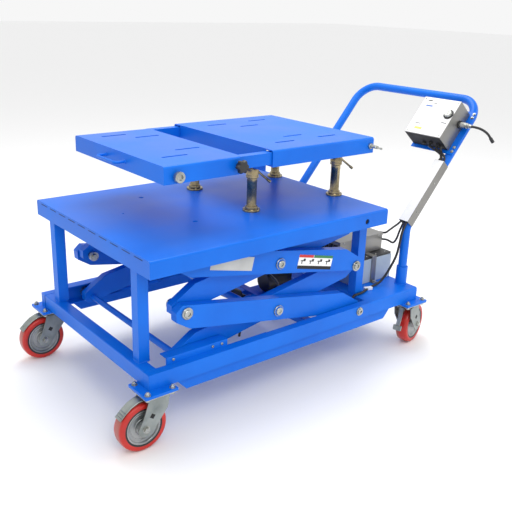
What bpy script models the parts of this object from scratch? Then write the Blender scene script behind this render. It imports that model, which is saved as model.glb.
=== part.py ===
"""Mobile two-stage scissor lift table with a screw-jack top platform, in metres, +Z up.

The frame below is the base frame's own: x runs from the braked end to the push handle, y across,
z up from the floor. Every body hangs from an empty on its joint's axis, and all of them hang from
one root empty, which puts the middle of the object's box at the world's origin.
"""

import math

import bmesh
import bpy
from mathutils import Matrix, Vector

for old in list(bpy.data.objects):
    bpy.data.objects.remove(old, do_unlink=True)

# ---------------------------------------------------------------- driving dimensions
GAP = 0.0003  # between pieces that touch
CENTRE_X = 0.1337  # middle of the object's box, in the base frame
CENTRE_Y = 0.0

BASE_HALF_LENGTH = 0.5745
BASE_HALF_WIDTH = 0.364
RAIL_TOP = 0.233
RAIL_BOTTOM = 0.184
RAIL_WIDTH = 0.028
SHEET = 0.004
END_TUBE_WIDTH = 0.040
DECK_START = 0.318
SKIRT_BOTTOM = 0.142

PIVOT_X = 0.266  # fixed pivots, right-hand end of both stages
ROLLER_X = -0.426  # rolling ends, left-hand end of both stages
PIVOT_Z = 0.214
STAGE_HEIGHT = 0.1585
JOINT_Z = PIVOT_Z + STAGE_HEIGHT
TOP_PIVOT_Z = JOINT_Z + STAGE_HEIGHT
CENTRE_PIN_X = (PIVOT_X + ROLLER_X) / 2
LOWER_CENTRE_Z = PIVOT_Z + STAGE_HEIGHT / 2
UPPER_CENTRE_Z = JOINT_Z + STAGE_HEIGHT / 2

OUTER_ARM = (0.300, 0.330)  # faces of the outer arms, from the middle plane
INNER_ARM = (0.268, 0.297)
ARM_HALF_HEIGHT = 0.038
ARM_SLOPE = 0.1806
ARM_MIDDLE_Z = 0.2985  # middle of a lower arm, above the centre pin
PIN_RADIUS = 0.010
PIN_HEAD_RADIUS = 0.0165
ROLLER_RADIUS = 0.0197
UPPER_ROLLER_RADIUS = 0.0157

TABLE_LEFT = -0.566
TABLE_RIGHT = 0.365
TABLE_HALF_WIDTH = 0.366
TABLE_TOP = 0.5685
TABLE_DEPTH = 0.0525
TABLE_SHEET = 0.005
BEND_RADIUS = 0.008
POST_SIZE = 0.035
POST_Y = 0.2675
POST_LEFT_X = -0.542
POST_RIGHT_X = 0.3405

PLATFORM_Y = 0.035
PLATFORM_TOP = 0.789
PLATFORM_DEPTH = 0.053
MAIN_PLATE = (-0.053, 0.399, 0.2795)  # left end, right end, half width
SLIDE_TOP = 0.782
SLIDE_PLATE = (-0.442, -0.165, 0.2745)
SLIDE_RAIL_END = 0.160
MAIN_SLOT_SLANT = 0.0
SLIDE_SLOT_SLANT = 0.0
JACK_X = (-0.041, 0.339)
JACK_Y = (-0.130, 0.200)
JACK_TUBE_RADIUS = 0.0165
JACK_POST_RADIUS = 0.012

WHEEL_RADIUS = 0.0762
CASTER_TRAIL = 0.045
CASTER_X = 0.549
CASTER_Y = 0.344
CASTERS = {  # name: x, y, heading of the trail in degrees
    "near_left": (-CASTER_X, -CASTER_Y, 180.0),
    "far_left": (-CASTER_X, CASTER_Y, 180.0),
    "near_right": (CASTER_X, -CASTER_Y, 15.0),
    "far_right": (CASTER_X, CASTER_Y, -10.0),
}

HANDLE_X = 0.555
HANDLE_Y = 0.300
HANDLE_RADIUS = 0.016
HANDLE_BEND_Z = 0.455
HANDLE_SLOPE = math.radians(49.6)
HANDLE_REACH = 0.566  # from the bend to the grip bar, along the slope

CYLINDER_FOOT = Vector((0.0297, 0.0, 0.1956))
CYLINDER_HEAD = Vector((-0.1501, 0.0, 0.3055))

# ---------------------------------------------------------------- materials
COLOURS = {
    "blue_paint": ((0.012, 0.130, 0.800), 0.30, 0.0),
    "zinc_plate": ((0.560, 0.580, 0.560), 0.38, 1.0),
    "yellow_zinc": ((0.620, 0.500, 0.260), 0.32, 1.0),
    "red_tread": ((0.560, 0.030, 0.020), 0.45, 0.0),
    "brushed_steel": ((0.700, 0.700, 0.690), 0.30, 1.0),
    "black_plastic": ((0.020, 0.020, 0.022), 0.45, 0.0),
    "battery_grey": ((0.420, 0.480, 0.520), 0.45, 0.0),
    "white_enamel": ((0.820, 0.820, 0.800), 0.30, 0.0),
    "cable_black": ((0.015, 0.015, 0.016), 0.50, 0.0),
}


def make_materials():
    made = {}
    for name, (colour, roughness, metallic) in COLOURS.items():
        material = bpy.data.materials.new(name)
        material.use_nodes = True
        shader = material.node_tree.nodes["Principled BSDF"]
        shader.inputs["Base Color"].default_value = (*colour, 1.0)
        shader.inputs["Roughness"].default_value = roughness
        shader.inputs["Metallic"].default_value = metallic
        made[name] = material
    return made


MATERIALS = make_materials()

# ---------------------------------------------------------------- bodies
BODIES = {}


def body(name, pivot, parent=None):
    """An empty on a joint's axis. A body's pieces and its child bodies hang from it."""
    empty = bpy.data.objects.new("body_" + name, None)
    empty.empty_display_size = 0.03
    bpy.context.scene.collection.objects.link(empty)
    pivot = Vector(pivot)
    if parent:
        empty.parent = BODIES[parent][0]
        empty.location = pivot - BODIES[parent][1]
    else:
        empty.location = pivot - Vector((CENTRE_X, CENTRE_Y, 0.0))
    BODIES[name] = (empty, pivot)


def place(name, mesh_or_curve, body_name, material):
    obj = bpy.data.objects.new(name, mesh_or_curve)
    bpy.context.scene.collection.objects.link(obj)
    obj.parent = BODIES[body_name][0]
    mesh_or_curve.materials.append(MATERIALS[material])
    return obj


def finish(bm, name, body_name, material, smooth=False):
    """Turns a bmesh in the base frame into an object on its body."""
    bmesh.ops.recalc_face_normals(bm, faces=bm.faces)
    bmesh.ops.translate(bm, verts=bm.verts, vec=-BODIES[body_name][1])
    mesh = bpy.data.meshes.new(name)
    bm.to_mesh(mesh)
    bm.free()
    if smooth:
        mesh.shade_smooth()
        mesh.set_sharp_from_angle(angle=math.radians(35))
    return place(name, mesh, body_name, material)


def hide(helper):
    helper.hide_render = True
    helper.display_type = "WIRE"
    return helper


def weld(bm, name, body_name, material, smooth=False):
    """As finish, for shapes that overlap: the first is the object, and the rest are joined to it."""
    joined = set()
    edge = [bm.verts[:][0]]
    while edge:
        vert = edge.pop()
        if vert not in joined:
            joined.add(vert)
            edge.extend(e.other_vert(vert) for e in vert.link_edges)
    bm.verts.index_update()
    numbers = {v.index for v in joined}
    others = bm.copy()
    others.verts.ensure_lookup_table()
    bmesh.ops.delete(others, geom=[others.verts[i] for i in numbers], context="VERTS")
    bmesh.ops.delete(bm, geom=[v for v in bm.verts if v not in joined], context="VERTS")
    obj = finish(bm, name, body_name, material, smooth)
    helper = hide(finish(others, name + "_joined", body_name, material, smooth))
    modifier = obj.modifiers.new("weld", "BOOLEAN")
    modifier.operation = "UNION"
    modifier.solver = "EXACT"
    modifier.use_self = True
    modifier.object = helper
    return obj


def cut(obj, body_name, shapes):
    """Cuts holes: shapes is a list of functions that each add one closed cutter."""
    bm = bmesh.new()
    for shape in shapes:
        shape(bm)
    modifier = obj.modifiers.new("holes", "BOOLEAN")
    modifier.operation = "DIFFERENCE"
    modifier.solver = "EXACT"
    modifier.object = hide(finish(bm, obj.name + "_cutter", body_name, "blue_paint"))


# ---------------------------------------------------------------- shapes
def add_loft(bm, rings):
    """Joins rings of points, all of one length, and closes both ends."""
    made = [[bm.verts.new(p) for p in ring] for ring in rings]
    n = len(made[0])
    for a, b in zip(made, made[1:]):
        for i in range(n):
            bm.faces.new((a[i], a[(i + 1) % n], b[(i + 1) % n], b[i]))
    bm.faces.new(made[0][::-1])
    bm.faces.new(made[-1])


def add_box(bm, x, y, z):
    corners = [(x[0], y[0]), (x[1], y[0]), (x[1], y[1]), (x[0], y[1])]
    add_loft(bm, [[(a, b, h) for a, b in corners] for h in z])


def add_prism_x(bm, outline, x):
    """An outline of (y, z) points, drawn out along x."""
    add_loft(bm, [[(v, a, b) for a, b in outline] for v in x])


def add_prism_y(bm, outline, y):
    """An outline of (x, z) points, drawn out along y."""
    add_loft(bm, [[(a, v, b) for a, b in outline] for v in y])


def circle(centre, radius, n, start=0.0):
    turn = 2 * math.pi / n
    return [
        (centre[0] + radius * math.cos(start + i * turn), centre[1] + radius * math.sin(start + i * turn))
        for i in range(n)
    ]


def plate_with_holes(bm, outline, holes, y):
    """An outline of (x, z) points with holes (x, z, radius), drawn out along y."""
    flat = bmesh.new()
    loops = [outline] + [circle((h[0], h[1]), h[2], 16) for h in holes]
    spans = []
    for loop in loops:
        verts = [flat.verts.new((a, b, 0.0)) for a, b in loop]
        for i, v in enumerate(verts):
            flat.edges.new((v, verts[(i + 1) % len(verts)]))
        spans.append(len(verts))
    flat.verts.index_update()
    bmesh.ops.triangle_fill(flat, use_beauty=True, edges=list(flat.edges))
    flat.verts.index_update()
    points = [v.co.copy() for v in flat.verts]
    triangles = [[v.index for v in f.verts] for f in flat.faces]
    flat.free()
    sides = [[bm.verts.new((p.x, h, p.y)) for p in points] for h in y]
    for a, b, c in triangles:
        bm.faces.new((sides[0][a], sides[0][b], sides[0][c]))
        bm.faces.new((sides[1][c], sides[1][b], sides[1][a]))
    start = 0
    for span in spans:
        for i in range(span):
            j = start + (i + 1) % span
            k = start + i
            bm.faces.new((sides[0][k], sides[0][j], sides[1][j], sides[1][k]))
        start += span


def across(axis):
    axis = Vector(axis).normalized()
    side = Vector((0, 0, 1)) if abs(axis.z) < 0.9 else Vector((1, 0, 0))
    first = axis.cross(side).normalized()
    return first, axis.cross(first).normalized()


def add_stack(bm, foot, axis, steps, n=16):
    """A round solid built up along an axis from (height, radius) steps."""
    foot, axis = Vector(foot), Vector(axis).normalized()
    first, second = across(axis)
    rings = []
    for height, radius in steps:
        rings.append([foot + axis * height + first * a + second * b for a, b in circle((0, 0), radius, n)])
    add_loft(bm, rings)


def add_rod(bm, start, end, radius, n=16, end_radius=None):
    start, end = Vector(start), Vector(end)
    add_stack(bm, start, end - start, [(0, radius), ((end - start).length, end_radius or radius)], n)


def rectangle(x, y, inset=0.0):
    x0, x1, y0, y1 = x[0] + inset, x[1] - inset, y[0] + inset, y[1] - inset
    return [(x0, y0), (x1, y0), (x1, y1), (x0, y1)]


def add_stepped_box(bm, x, y, steps):
    """A box built up from (height, inset) steps."""
    add_loft(bm, [[(a, b, z) for a, b in rectangle(x, y, inset)] for z, inset in steps])


def add_turned(bm, centre, axis, profile, n=20):
    """A closed (radius, height) profile that doesn't touch the axis, turned about it."""
    centre, axis = Vector(centre), Vector(axis).normalized()
    first, second = across(axis)
    rings = []
    for a, b in circle((0, 0), 1.0, n):
        out = first * a + second * b
        rings.append([bm.verts.new(centre + out * r + axis * h) for r, h in profile])
    m = len(profile)
    for i, ring in enumerate(rings):
        after = rings[(i + 1) % n]
        for k in range(m):
            bm.faces.new((ring[k], after[k], after[(k + 1) % m], ring[(k + 1) % m]))


def add_ring(bm, centre, axis, inner, outer, low, high, n=16):
    add_turned(bm, centre, axis, [(inner, low), (outer, low), (outer, high), (inner, high)], n)


def arc(centre, radius, start, end, steps):
    turn = math.radians(end - start) / steps
    first = math.radians(start)
    return [
        (centre[0] + radius * math.cos(first + i * turn), centre[1] + radius * math.sin(first + i * turn))
        for i in range(steps + 1)
    ]


def folded_tray(bm, x, middle_y, half_width, top, depth, sheet, end_walls):
    """A sheet folded down along both long sides, with a flat wall welded in at the named ends."""
    left, right, bottom = middle_y - half_width, middle_y + half_width, top - depth
    r = BEND_RADIUS
    outside = [(left, bottom)] + arc((left + r, top - r), r, 180, 90, 3)
    outside += arc((right - r, top - r), r, 90, 0, 3) + [(right, bottom)]
    inner = r - sheet
    inside = [(right - sheet, bottom)] + arc((right - r, top - r), inner, 0, 90, 2)
    inside += arc((left + r, top - r), inner, 90, 180, 2) + [(left + sheet, bottom)]
    add_prism_x(bm, outside + inside, x)
    into = sheet - 0.0015
    for end in end_walls:
        start = x[0] + GAP if end == "left" else x[1] - sheet - GAP
        add_box(bm, (start, start + sheet), (left + into, right - into), (bottom + GAP, top - into))


def slot_cutter(middle, half_length, half_width, slant, z):
    """A round-ended slot. Its slant is the angle from +x to its long direction."""

    def shape(bm):
        ends = arc((half_length, 0), half_width, -90, 90, 4) + arc((-half_length, 0), half_width, 90, 270, 4)
        turn = Matrix.Rotation(math.radians(slant), 2)
        ring = [turn @ Vector(p) + Vector(middle) for p in ends]
        add_loft(bm, [[(p.x, p.y, h) for p in ring] for h in z])

    return shape


def rod_cutter(start, end, radius, n=16):
    def shape(bm):
        add_rod(bm, start, end, radius, n)

    return shape


def smooth_route(points, step):
    """Points about a step apart along a smooth curve through the given points."""
    points = [Vector(p) for p in points]
    whole = [points[0] * 2 - points[1]] + points + [points[-1] * 2 - points[-2]]
    route = [points[0]]
    for a, b, c, d in zip(whole, whole[1:], whole[2:], whole[3:]):
        n = max(1, round((c - b).length / step))
        for i in range(1, n + 1):
            t = i / n
            route.append(
                0.5 * (2 * b + (c - a) * t + (2 * a - 5 * b + 4 * c - d) * t**2 + (3 * b - a - 3 * c + d) * t**3)
            )
    return route


def tube(name, body_name, material, routes, radius, resolution=2):
    """Round tubes along lists of points, one open spline for each."""
    curve = bpy.data.curves.new(name, "CURVE")
    curve.dimensions = "3D"
    curve.bevel_depth = radius
    curve.bevel_resolution = resolution
    curve.use_fill_caps = True
    for route in routes:
        spline = curve.splines.new("POLY")
        spline.points.add(len(route) - 1)
        for point, co in zip(spline.points, route):
            point.co = (*(Vector(co) - BODIES[body_name][1]), 1.0)
        spline.use_smooth = True
    return place(name, curve, body_name, material)


def both_sides(faces):
    """The near and the far interval of y for a pair of faces."""
    return ((-faces[1], -faces[0]), (faces[0], faces[1]))


# ---------------------------------------------------------------- base
def channel_rail(side):
    """Outline of a side rail: a channel open to the inside, with a plate hanging below it."""
    outer, inner = BASE_HALF_WIDTH, BASE_HALF_WIDTH - RAIL_WIDTH
    web = outer - SHEET
    shape = [
        (outer, RAIL_BOTTOM),
        (outer, RAIL_TOP),
        (inner, RAIL_TOP),
        (inner, RAIL_TOP - SHEET),
        (web, RAIL_TOP - SHEET),
        (web, RAIL_BOTTOM + SHEET),
        (inner, RAIL_BOTTOM + SHEET),
        (inner, RAIL_BOTTOM),
    ]
    return [(side * a, b) for a, b in shape]


def build_base():
    body("base", (0, 0, 0))
    build_side_rail(-1, "near")
    build_side_rail(1, "far")
    build_end_frame()
    build_cross_member()
    build_deck()


def build_side_rail(side, which):
    """A side rail with its roller track, its hanging plate, and the plates that carry two casters."""
    bm = bmesh.new()
    add_prism_x(bm, channel_rail(side), (-BASE_HALF_LENGTH, DECK_START - GAP))
    outline = [(-0.440, SKIRT_BOTTOM), (-0.482, RAIL_BOTTOM + 0.002), (0.300, RAIL_BOTTOM + 0.002), (0.300, SKIRT_BOTTOM)]
    add_prism_y(bm, outline, sorted((side * 0.343, side * 0.349)))
    outline = [(0.298, SKIRT_BOTTOM), (0.298, RAIL_BOTTOM - GAP), (0.452, RAIL_BOTTOM - GAP), (0.416, SKIRT_BOTTOM)]
    add_prism_y(bm, outline, sorted((side * 0.3435, side * 0.3485)))
    for shape, x in track_shapes():
        add_prism_x(bm, [(side * a, b) for a, b in shape], x)
    x, y = -CASTER_X, side * CASTER_Y
    add_stepped_box(bm, (x - 0.053, x + 0.053), (y - 0.049, y + 0.049), [(0.1768, 0), (RAIL_BOTTOM + 0.0012, 0)])
    add_caster_plate_and_race(bm, x, y)
    rail = weld(bm, f"side_rail_{which}", "base", "blue_paint")
    outside, inside = side * (BASE_HALF_WIDTH + 0.01), side * (BASE_HALF_WIDTH - 0.01)
    cut(rail, "base", [rod_cutter((PIVOT_X, inside, PIVOT_Z), (PIVOT_X, outside, PIVOT_Z), 0.0105)])


def add_caster_plate_and_race(bm, x, y):
    add_box(bm, (x - 0.051, x + 0.051), (y - 0.047, y + 0.047), (0.1725, 0.1775))
    add_stack(bm, (x, y, 0.1642), (0, 0, 1), [(0, 0.030), (0.0095, 0.030)], 20)


def track_shapes():
    """The channel that a lower roller runs in: a deep guarded stretch, and a plain ledge after it."""
    web = BASE_HALF_WIDTH - RAIL_WIDTH + 0.0015
    inner, low, high, wall = 0.3005, 0.190, 0.255, 0.0037
    guard = [
        (web, low),
        (web, high),
        (inner, high),
        (inner, high - wall),
        (web - 0.0055, high - wall),
        (web - 0.0055, low + wall),
        (inner, low + wall),
        (inner, low),
    ]
    ledge = [
        (web, low + 0.0003),
        (web, RAIL_TOP - 0.001),
        (web - 0.0055, RAIL_TOP - 0.001),
        (web - 0.0055, low + wall),
        (inner, low + wall),
        (inner, low + 0.0003),
    ]
    return [(guard, (-0.500, -0.285)), (ledge, (-0.287, -0.130))]


def add_post(bm, x, y, foot):
    half = POST_SIZE / 2
    z = (foot, TABLE_TOP - TABLE_SHEET - GAP)
    add_box(bm, (x - half, x + half), (y - half, y + half), z)


def build_end_frame():
    """The end tube of the base with the two posts that the lowered table rests on."""
    bm = bmesh.new()
    inner = BASE_HALF_WIDTH - RAIL_WIDTH - GAP
    left = -BASE_HALF_LENGTH
    add_box(bm, (left, left + END_TUBE_WIDTH), (-inner, inner), (RAIL_BOTTOM + 0.0015, RAIL_TOP))
    add_post(bm, POST_LEFT_X, -POST_Y, RAIL_TOP - 0.003)
    add_post(bm, POST_LEFT_X, POST_Y, RAIL_TOP - 0.003)
    weld(bm, "base_end_frame", "base", "blue_paint")


def build_cross_member():
    """The middle cross tube, with the shelf for the pump and the ears that the cylinder swings on."""
    bm = bmesh.new()
    inner = BASE_HALF_WIDTH - SHEET - GAP
    add_box(bm, (0.063, 0.093), (-inner, inner), (RAIL_BOTTOM + SHEET + GAP, 0.212))
    add_box(bm, (0.091, 0.250), (-0.065, 0.065), (0.1893, 0.1933))
    outline = [(0.065, 0.190), (0.065, 0.2085), (0.034, 0.2085), (0.017, 0.202), (0.017, 0.188), (0.028, 0.184)]
    for y in both_sides((0.0190, 0.0250)):
        add_prism_y(bm, outline, y)
    half = Vector((0, 0.0240, 0))
    add_rod(bm, CYLINDER_FOOT - half, CYLINDER_FOOT + half, 0.0070, 12)
    weld(bm, "base_cross_member", "base", "blue_paint")


def build_deck():
    """The folded deck behind the lift: it carries the batteries, two table posts and the handle sockets."""
    bm = bmesh.new()
    x = (DECK_START, BASE_HALF_LENGTH)
    deep = RAIL_TOP - RAIL_BOTTOM
    folded_tray(bm, x, 0.0, BASE_HALF_WIDTH, RAIL_TOP, deep, SHEET, ("left", "right"))
    for side in (-1, 1):
        y = side * HANDLE_Y
        inner, outer = HANDLE_RADIUS + 0.0008, HANDLE_RADIUS + 0.005
        add_ring(bm, (HANDLE_X, y, 0), (0, 0, 1), inner, outer, RAIL_TOP - 0.002, 0.302, 24)
        add_post(bm, POST_RIGHT_X, side * POST_Y, RAIL_TOP - 0.003)
        x, y = CASTER_X, side * CASTER_Y
        add_box(bm, (x - 0.053, x + 0.053), (y - 0.049, y + 0.049), (0.1768, RAIL_BOTTOM + 0.0012))
        add_caster_plate_and_race(bm, x, y)
    weld(bm, "rear_deck", "base", "blue_paint")


# ---------------------------------------------------------------- casters
def caster_frame(x, y, heading):
    """Maps (u along the trail, w across, z) to the base frame."""
    turn = math.radians(heading)
    along, over = Vector((math.cos(turn), math.sin(turn), 0)), Vector((-math.sin(turn), math.cos(turn), 0))
    return lambda u, w, z: Vector((x, y, z)) + along * u + over * w


def add_caster_plate(bm, at, outline, w):
    add_loft(bm, [[at(u, side, z) for u, z in outline] for side in w])


def build_caster(name, x, y, heading):
    at = caster_frame(x, y, heading)
    body(f"fork_{name}", (x, y, 0.160), "base")
    bm = bmesh.new()
    top, axle = 0.1637, (CASTER_TRAIL, WHEEL_RADIUS)
    add_caster_plate(bm, at, [(-0.034, 0.1585), (0.036, 0.1585), (0.036, top), (-0.034, top)], (-0.0345, 0.0345))
    leg = [(-0.033, 0.1605), (-0.026, 0.125), (0.017, 0.071)]
    leg += arc(axle, 0.024, 200, 370, 7)[1:] + [(0.052, 0.112), (0.035, 0.1605)]
    for w in ((-0.0342, -0.0310), (0.0310, 0.0342)):
        add_caster_plate(bm, at, leg, w)
    add_rod(bm, at(axle[0], -0.0415, axle[1]), at(axle[0], 0.0415, axle[1]), 0.0064, 12)
    weld(bm, f"caster_fork_{name}", f"fork_{name}", "zinc_plate")

    body(f"wheel_{name}", at(axle[0], 0, axle[1]), f"fork_{name}")
    bm = bmesh.new()
    half = [(0.0068, 0.0270), (0.0190, 0.0270), (0.0215, 0.0130), (0.0520, 0.0130)]
    half += [(0.0550, 0.0205), (0.0700, 0.0215), (0.0745, 0.0165)]
    profile = [(r, -h) for r, h in half] + [(WHEEL_RADIUS, 0.0)] + half[::-1]
    add_turned(bm, at(axle[0], 0, axle[1]), at(0, 1, 0) - at(0, 0, 0), profile, 20)
    finish(bm, f"caster_wheel_{name}", f"wheel_{name}", "red_tread", smooth=True)

    if x < 0:
        body(f"pedal_{name}", at(0.0380, 0, 0.160), f"fork_{name}")
        top = [(0.0375, 0.1625), (0.058, 0.1600), (0.078, 0.1515), (0.097, 0.1372), (0.1165, 0.1190)]
        low = [(0.1150, 0.1172), (0.0955, 0.1350), (0.0765, 0.1492), (0.058, 0.1572), (0.0375, 0.1590)]
    else:
        body(f"pedal_{name}", at(-0.0380, 0, 0.160), f"fork_{name}")
        top = [(-0.0355, 0.1625), (-0.0355, 0.1500), (-0.052, 0.112), (-0.062, 0.080)]
        low = [(-0.070, 0.080), (-0.060, 0.115), (-0.045, 0.152), (-0.0415, 0.1625)]
    bm = bmesh.new()
    add_caster_plate(bm, at, top + low, (-0.016, 0.016))
    finish(bm, f"brake_pedal_{name}", f"pedal_{name}", "zinc_plate")


# ---------------------------------------------------------------- scissors
def arm_outline(mirrored, lift):
    """Side view of an arm. The outer arms fall to the right, and the inner arms are their mirror."""

    def middle(x):
        return ARM_MIDDLE_Z - ARM_SLOPE * (x - CENTRE_PIN_X)

    h = ARM_HALF_HEIGHT
    points = [
        (-0.415, middle(-0.415) - h),
        (-0.460, 0.350),
        (-0.462, 0.380),
        (-0.440, 0.3995),
        (0.215, middle(0.215) + h),
        (0.296, 0.232),
        (0.296, 0.205),
        (0.280, 0.193),
        (0.245, middle(0.245) - h),
    ]
    if mirrored:
        points = [(2 * CENTRE_PIN_X - x, z) for x, z in points[::-1]]
    return [(x, z + lift) for x, z in points]


def add_arms(bm, mirrored, lift, faces, holes):
    holes = [(x, z, PIN_RADIUS + 0.0005) for x, z in holes]
    for y in both_sides(faces):
        plate_with_holes(bm, arm_outline(mirrored, lift), holes, y)


def add_shaft(bm, x, z, half_length, radius, n=16):
    add_rod(bm, (x, -half_length, z), (x, half_length, z), radius, n)


def add_stub_pins(bm, x, z):
    """A pin welded through each outer arm: its head stands outside, and its end runs in the inner arm."""
    for side in (-1, 1):
        steps = [(0.2535, 0.0097), (0.3295, 0.0097), (0.3295, PIN_HEAD_RADIUS), (0.3360, PIN_HEAD_RADIUS)]
        add_stack(bm, (x, 0, z), (0, side, 0), steps, 16)


def build_scissors():
    body("lower_outer", (PIVOT_X, 0, PIVOT_Z), "base")
    body("lower_inner", (CENTRE_PIN_X, 0, LOWER_CENTRE_Z), "lower_outer")
    body("upper_inner", (ROLLER_X, 0, JOINT_Z), "lower_outer")
    body("upper_outer", (CENTRE_PIN_X, 0, UPPER_CENTRE_Z), "upper_inner")
    lower_centre, upper_centre = (CENTRE_PIN_X, LOWER_CENTRE_Z), (CENTRE_PIN_X, UPPER_CENTRE_Z)
    left_joint, right_joint = (ROLLER_X, JOINT_Z), (PIVOT_X, JOINT_Z)
    into_arms = INNER_ARM[0] + 0.005

    bm = bmesh.new()
    add_arms(bm, False, 0.0, OUTER_ARM, [left_joint])
    add_shaft(bm, PIVOT_X, PIVOT_Z, BASE_HALF_WIDTH + 0.004, 0.0100)
    add_stub_pins(bm, *lower_centre)
    weld(bm, "lower_outer_arms", "lower_outer", "blue_paint")

    bm = bmesh.new()
    add_arms(bm, True, 0.0, INNER_ARM, [lower_centre, right_joint])
    add_shaft(bm, ROLLER_X, PIVOT_Z, into_arms, 0.0105, 12)
    add_shaft(bm, CYLINDER_HEAD.x, CYLINDER_HEAD.z, into_arms, 0.0125, 12)
    for side in (-1, 1):
        start, end = INNER_ARM[1] - 0.004, 0.3310
        add_rod(bm, (ROLLER_X, side * start, PIVOT_Z), (ROLLER_X, side * end, PIVOT_Z), 0.0070, 10)
    weld(bm, "lower_inner_arms", "lower_inner", "blue_paint")

    bm = bmesh.new()
    add_arms(bm, True, STAGE_HEIGHT, INNER_ARM, [left_joint, upper_centre])
    add_shaft(bm, PIVOT_X, TOP_PIVOT_Z, 0.2985, 0.0097)
    weld(bm, "upper_inner_arms", "upper_inner", "blue_paint")

    bm = bmesh.new()
    add_arms(bm, False, STAGE_HEIGHT, OUTER_ARM, [])
    add_shaft(bm, *right_joint, 0.3320, 0.0097)
    add_stub_pins(bm, *upper_centre)
    for side in (-1, 1):
        start, end = OUTER_ARM[1] - 0.004, 0.3560
        add_rod(bm, (ROLLER_X, side * start, TOP_PIVOT_Z), (ROLLER_X, side * end, TOP_PIVOT_Z), 0.0070, 10)
    weld(bm, "upper_outer_arms", "upper_outer", "blue_paint")

    for side, which in ((-1, "near"), (1, "far")):
        bm = bmesh.new()
        steps = [(0.2360, 0.0097), (0.2420, 0.0097), (0.2420, 0.0160), (0.2560, 0.0160), (0.2560, 0.0097)]
        steps += [(OUTER_ARM[1] + GAP, 0.0097), (OUTER_ARM[1] + GAP, PIN_HEAD_RADIUS), (0.3365, PIN_HEAD_RADIUS)]
        add_stack(bm, (ROLLER_X, 0, JOINT_Z), (0, side, 0), steps, 20)
        finish(bm, f"left_joint_pin_{which}", "lower_outer", "zinc_plate", smooth=True)
    build_rollers()


def build_rollers():
    lower = ("lower", "lower_inner", PIVOT_Z, ROLLER_RADIUS, (0.3020, 0.3300))
    upper = ("upper", "upper_outer", TOP_PIVOT_Z, UPPER_ROLLER_RADIUS, (0.3340, 0.3550))
    for stage, parent, z, radius, faces in (lower, upper):
        for side, which in ((-1, "near"), (1, "far")):
            name = f"{stage}_roller_{which}"
            body(name, (ROLLER_X, side * faces[0], z), parent)
            bm = bmesh.new()
            add_ring(bm, (ROLLER_X, 0, z), (0, side, 0), 0.0075, radius, *faces, 24)
            finish(bm, name, name, "zinc_plate", smooth=True)


def build_cylinder():
    """The hydraulic cylinder: foot eye, barrel and the rod whose head pushes the cross tube."""
    along = (CYLINDER_HEAD - CYLINDER_FOOT).normalized()
    length = (CYLINDER_HEAD - CYLINDER_FOOT).length
    body("cylinder_barrel", CYLINDER_FOOT, "base")
    body("cylinder_rod", CYLINDER_FOOT, "cylinder_barrel")
    bore, mouth = 0.0124, length - 0.042
    bm = bmesh.new()
    profile = [(bore, 0.030), (bore, mouth), (0.0235, mouth), (0.0235, 0.022)]
    profile += [(0.0160, 0.022), (0.0160, 0.011), (0.004, 0.011), (0.004, 0.030)]
    add_turned(bm, CYLINDER_FOOT, along, profile, 20)
    add_ring(bm, CYLINDER_FOOT, (0, 1, 0), 0.0075, 0.0150, -0.0175, 0.0175, 16)
    weld(bm, "cylinder_barrel", "cylinder_barrel", "black_plastic", smooth=True)
    bm = bmesh.new()
    add_rod(bm, CYLINDER_FOOT + along * 0.062, CYLINDER_HEAD - along * 0.0160, 0.0120, 16)
    finish(bm, "cylinder_rod", "cylinder_rod", "brushed_steel", smooth=True)


# ---------------------------------------------------------------- table
def build_table():
    body("table", (PIVOT_X, 0, TOP_PIVOT_Z), "upper_inner")
    bm = bmesh.new()
    x = (TABLE_LEFT, TABLE_RIGHT)
    folded_tray(bm, x, 0.0, TABLE_HALF_WIDTH, TABLE_TOP, TABLE_DEPTH, TABLE_SHEET, ("left", "right"))
    into = TABLE_TOP - TABLE_SHEET + 0.002
    for y in both_sides((0.333, 0.3575)):
        add_box(bm, (-0.470, -0.160), y, (TOP_PIVOT_Z + UPPER_ROLLER_RADIUS + GAP, into))
    lug = [(0.236, into), (0.248, 0.517), (0.284, 0.517), (0.296, into)]
    for y in both_sides((0.250, 0.262)):
        plate_with_holes(bm, lug, [(PIVOT_X, TOP_PIVOT_Z, PIN_RADIUS + 0.0003)], y)
    tray = weld(bm, "table_tray", "table", "blue_paint")
    low, high = TABLE_TOP - 0.02, TABLE_TOP + 0.01
    holes = [rod_cutter((-0.262, y, low), (-0.262, y, high), 0.0085, 12) for y in JACK_Y]
    holes.append(rod_cutter((-0.408, 0.063, low), (-0.408, 0.063, high), 0.004, 10))
    for side in (-1, 1):
        wide = TABLE_HALF_WIDTH
        start, end = (PIVOT_X, side * (wide - 0.02), 0.539), (PIVOT_X, side * (wide + 0.01), 0.539)
        holes.append(rod_cutter(start, end, 0.0095, 12))
    cut(tray, "table", holes)


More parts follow.
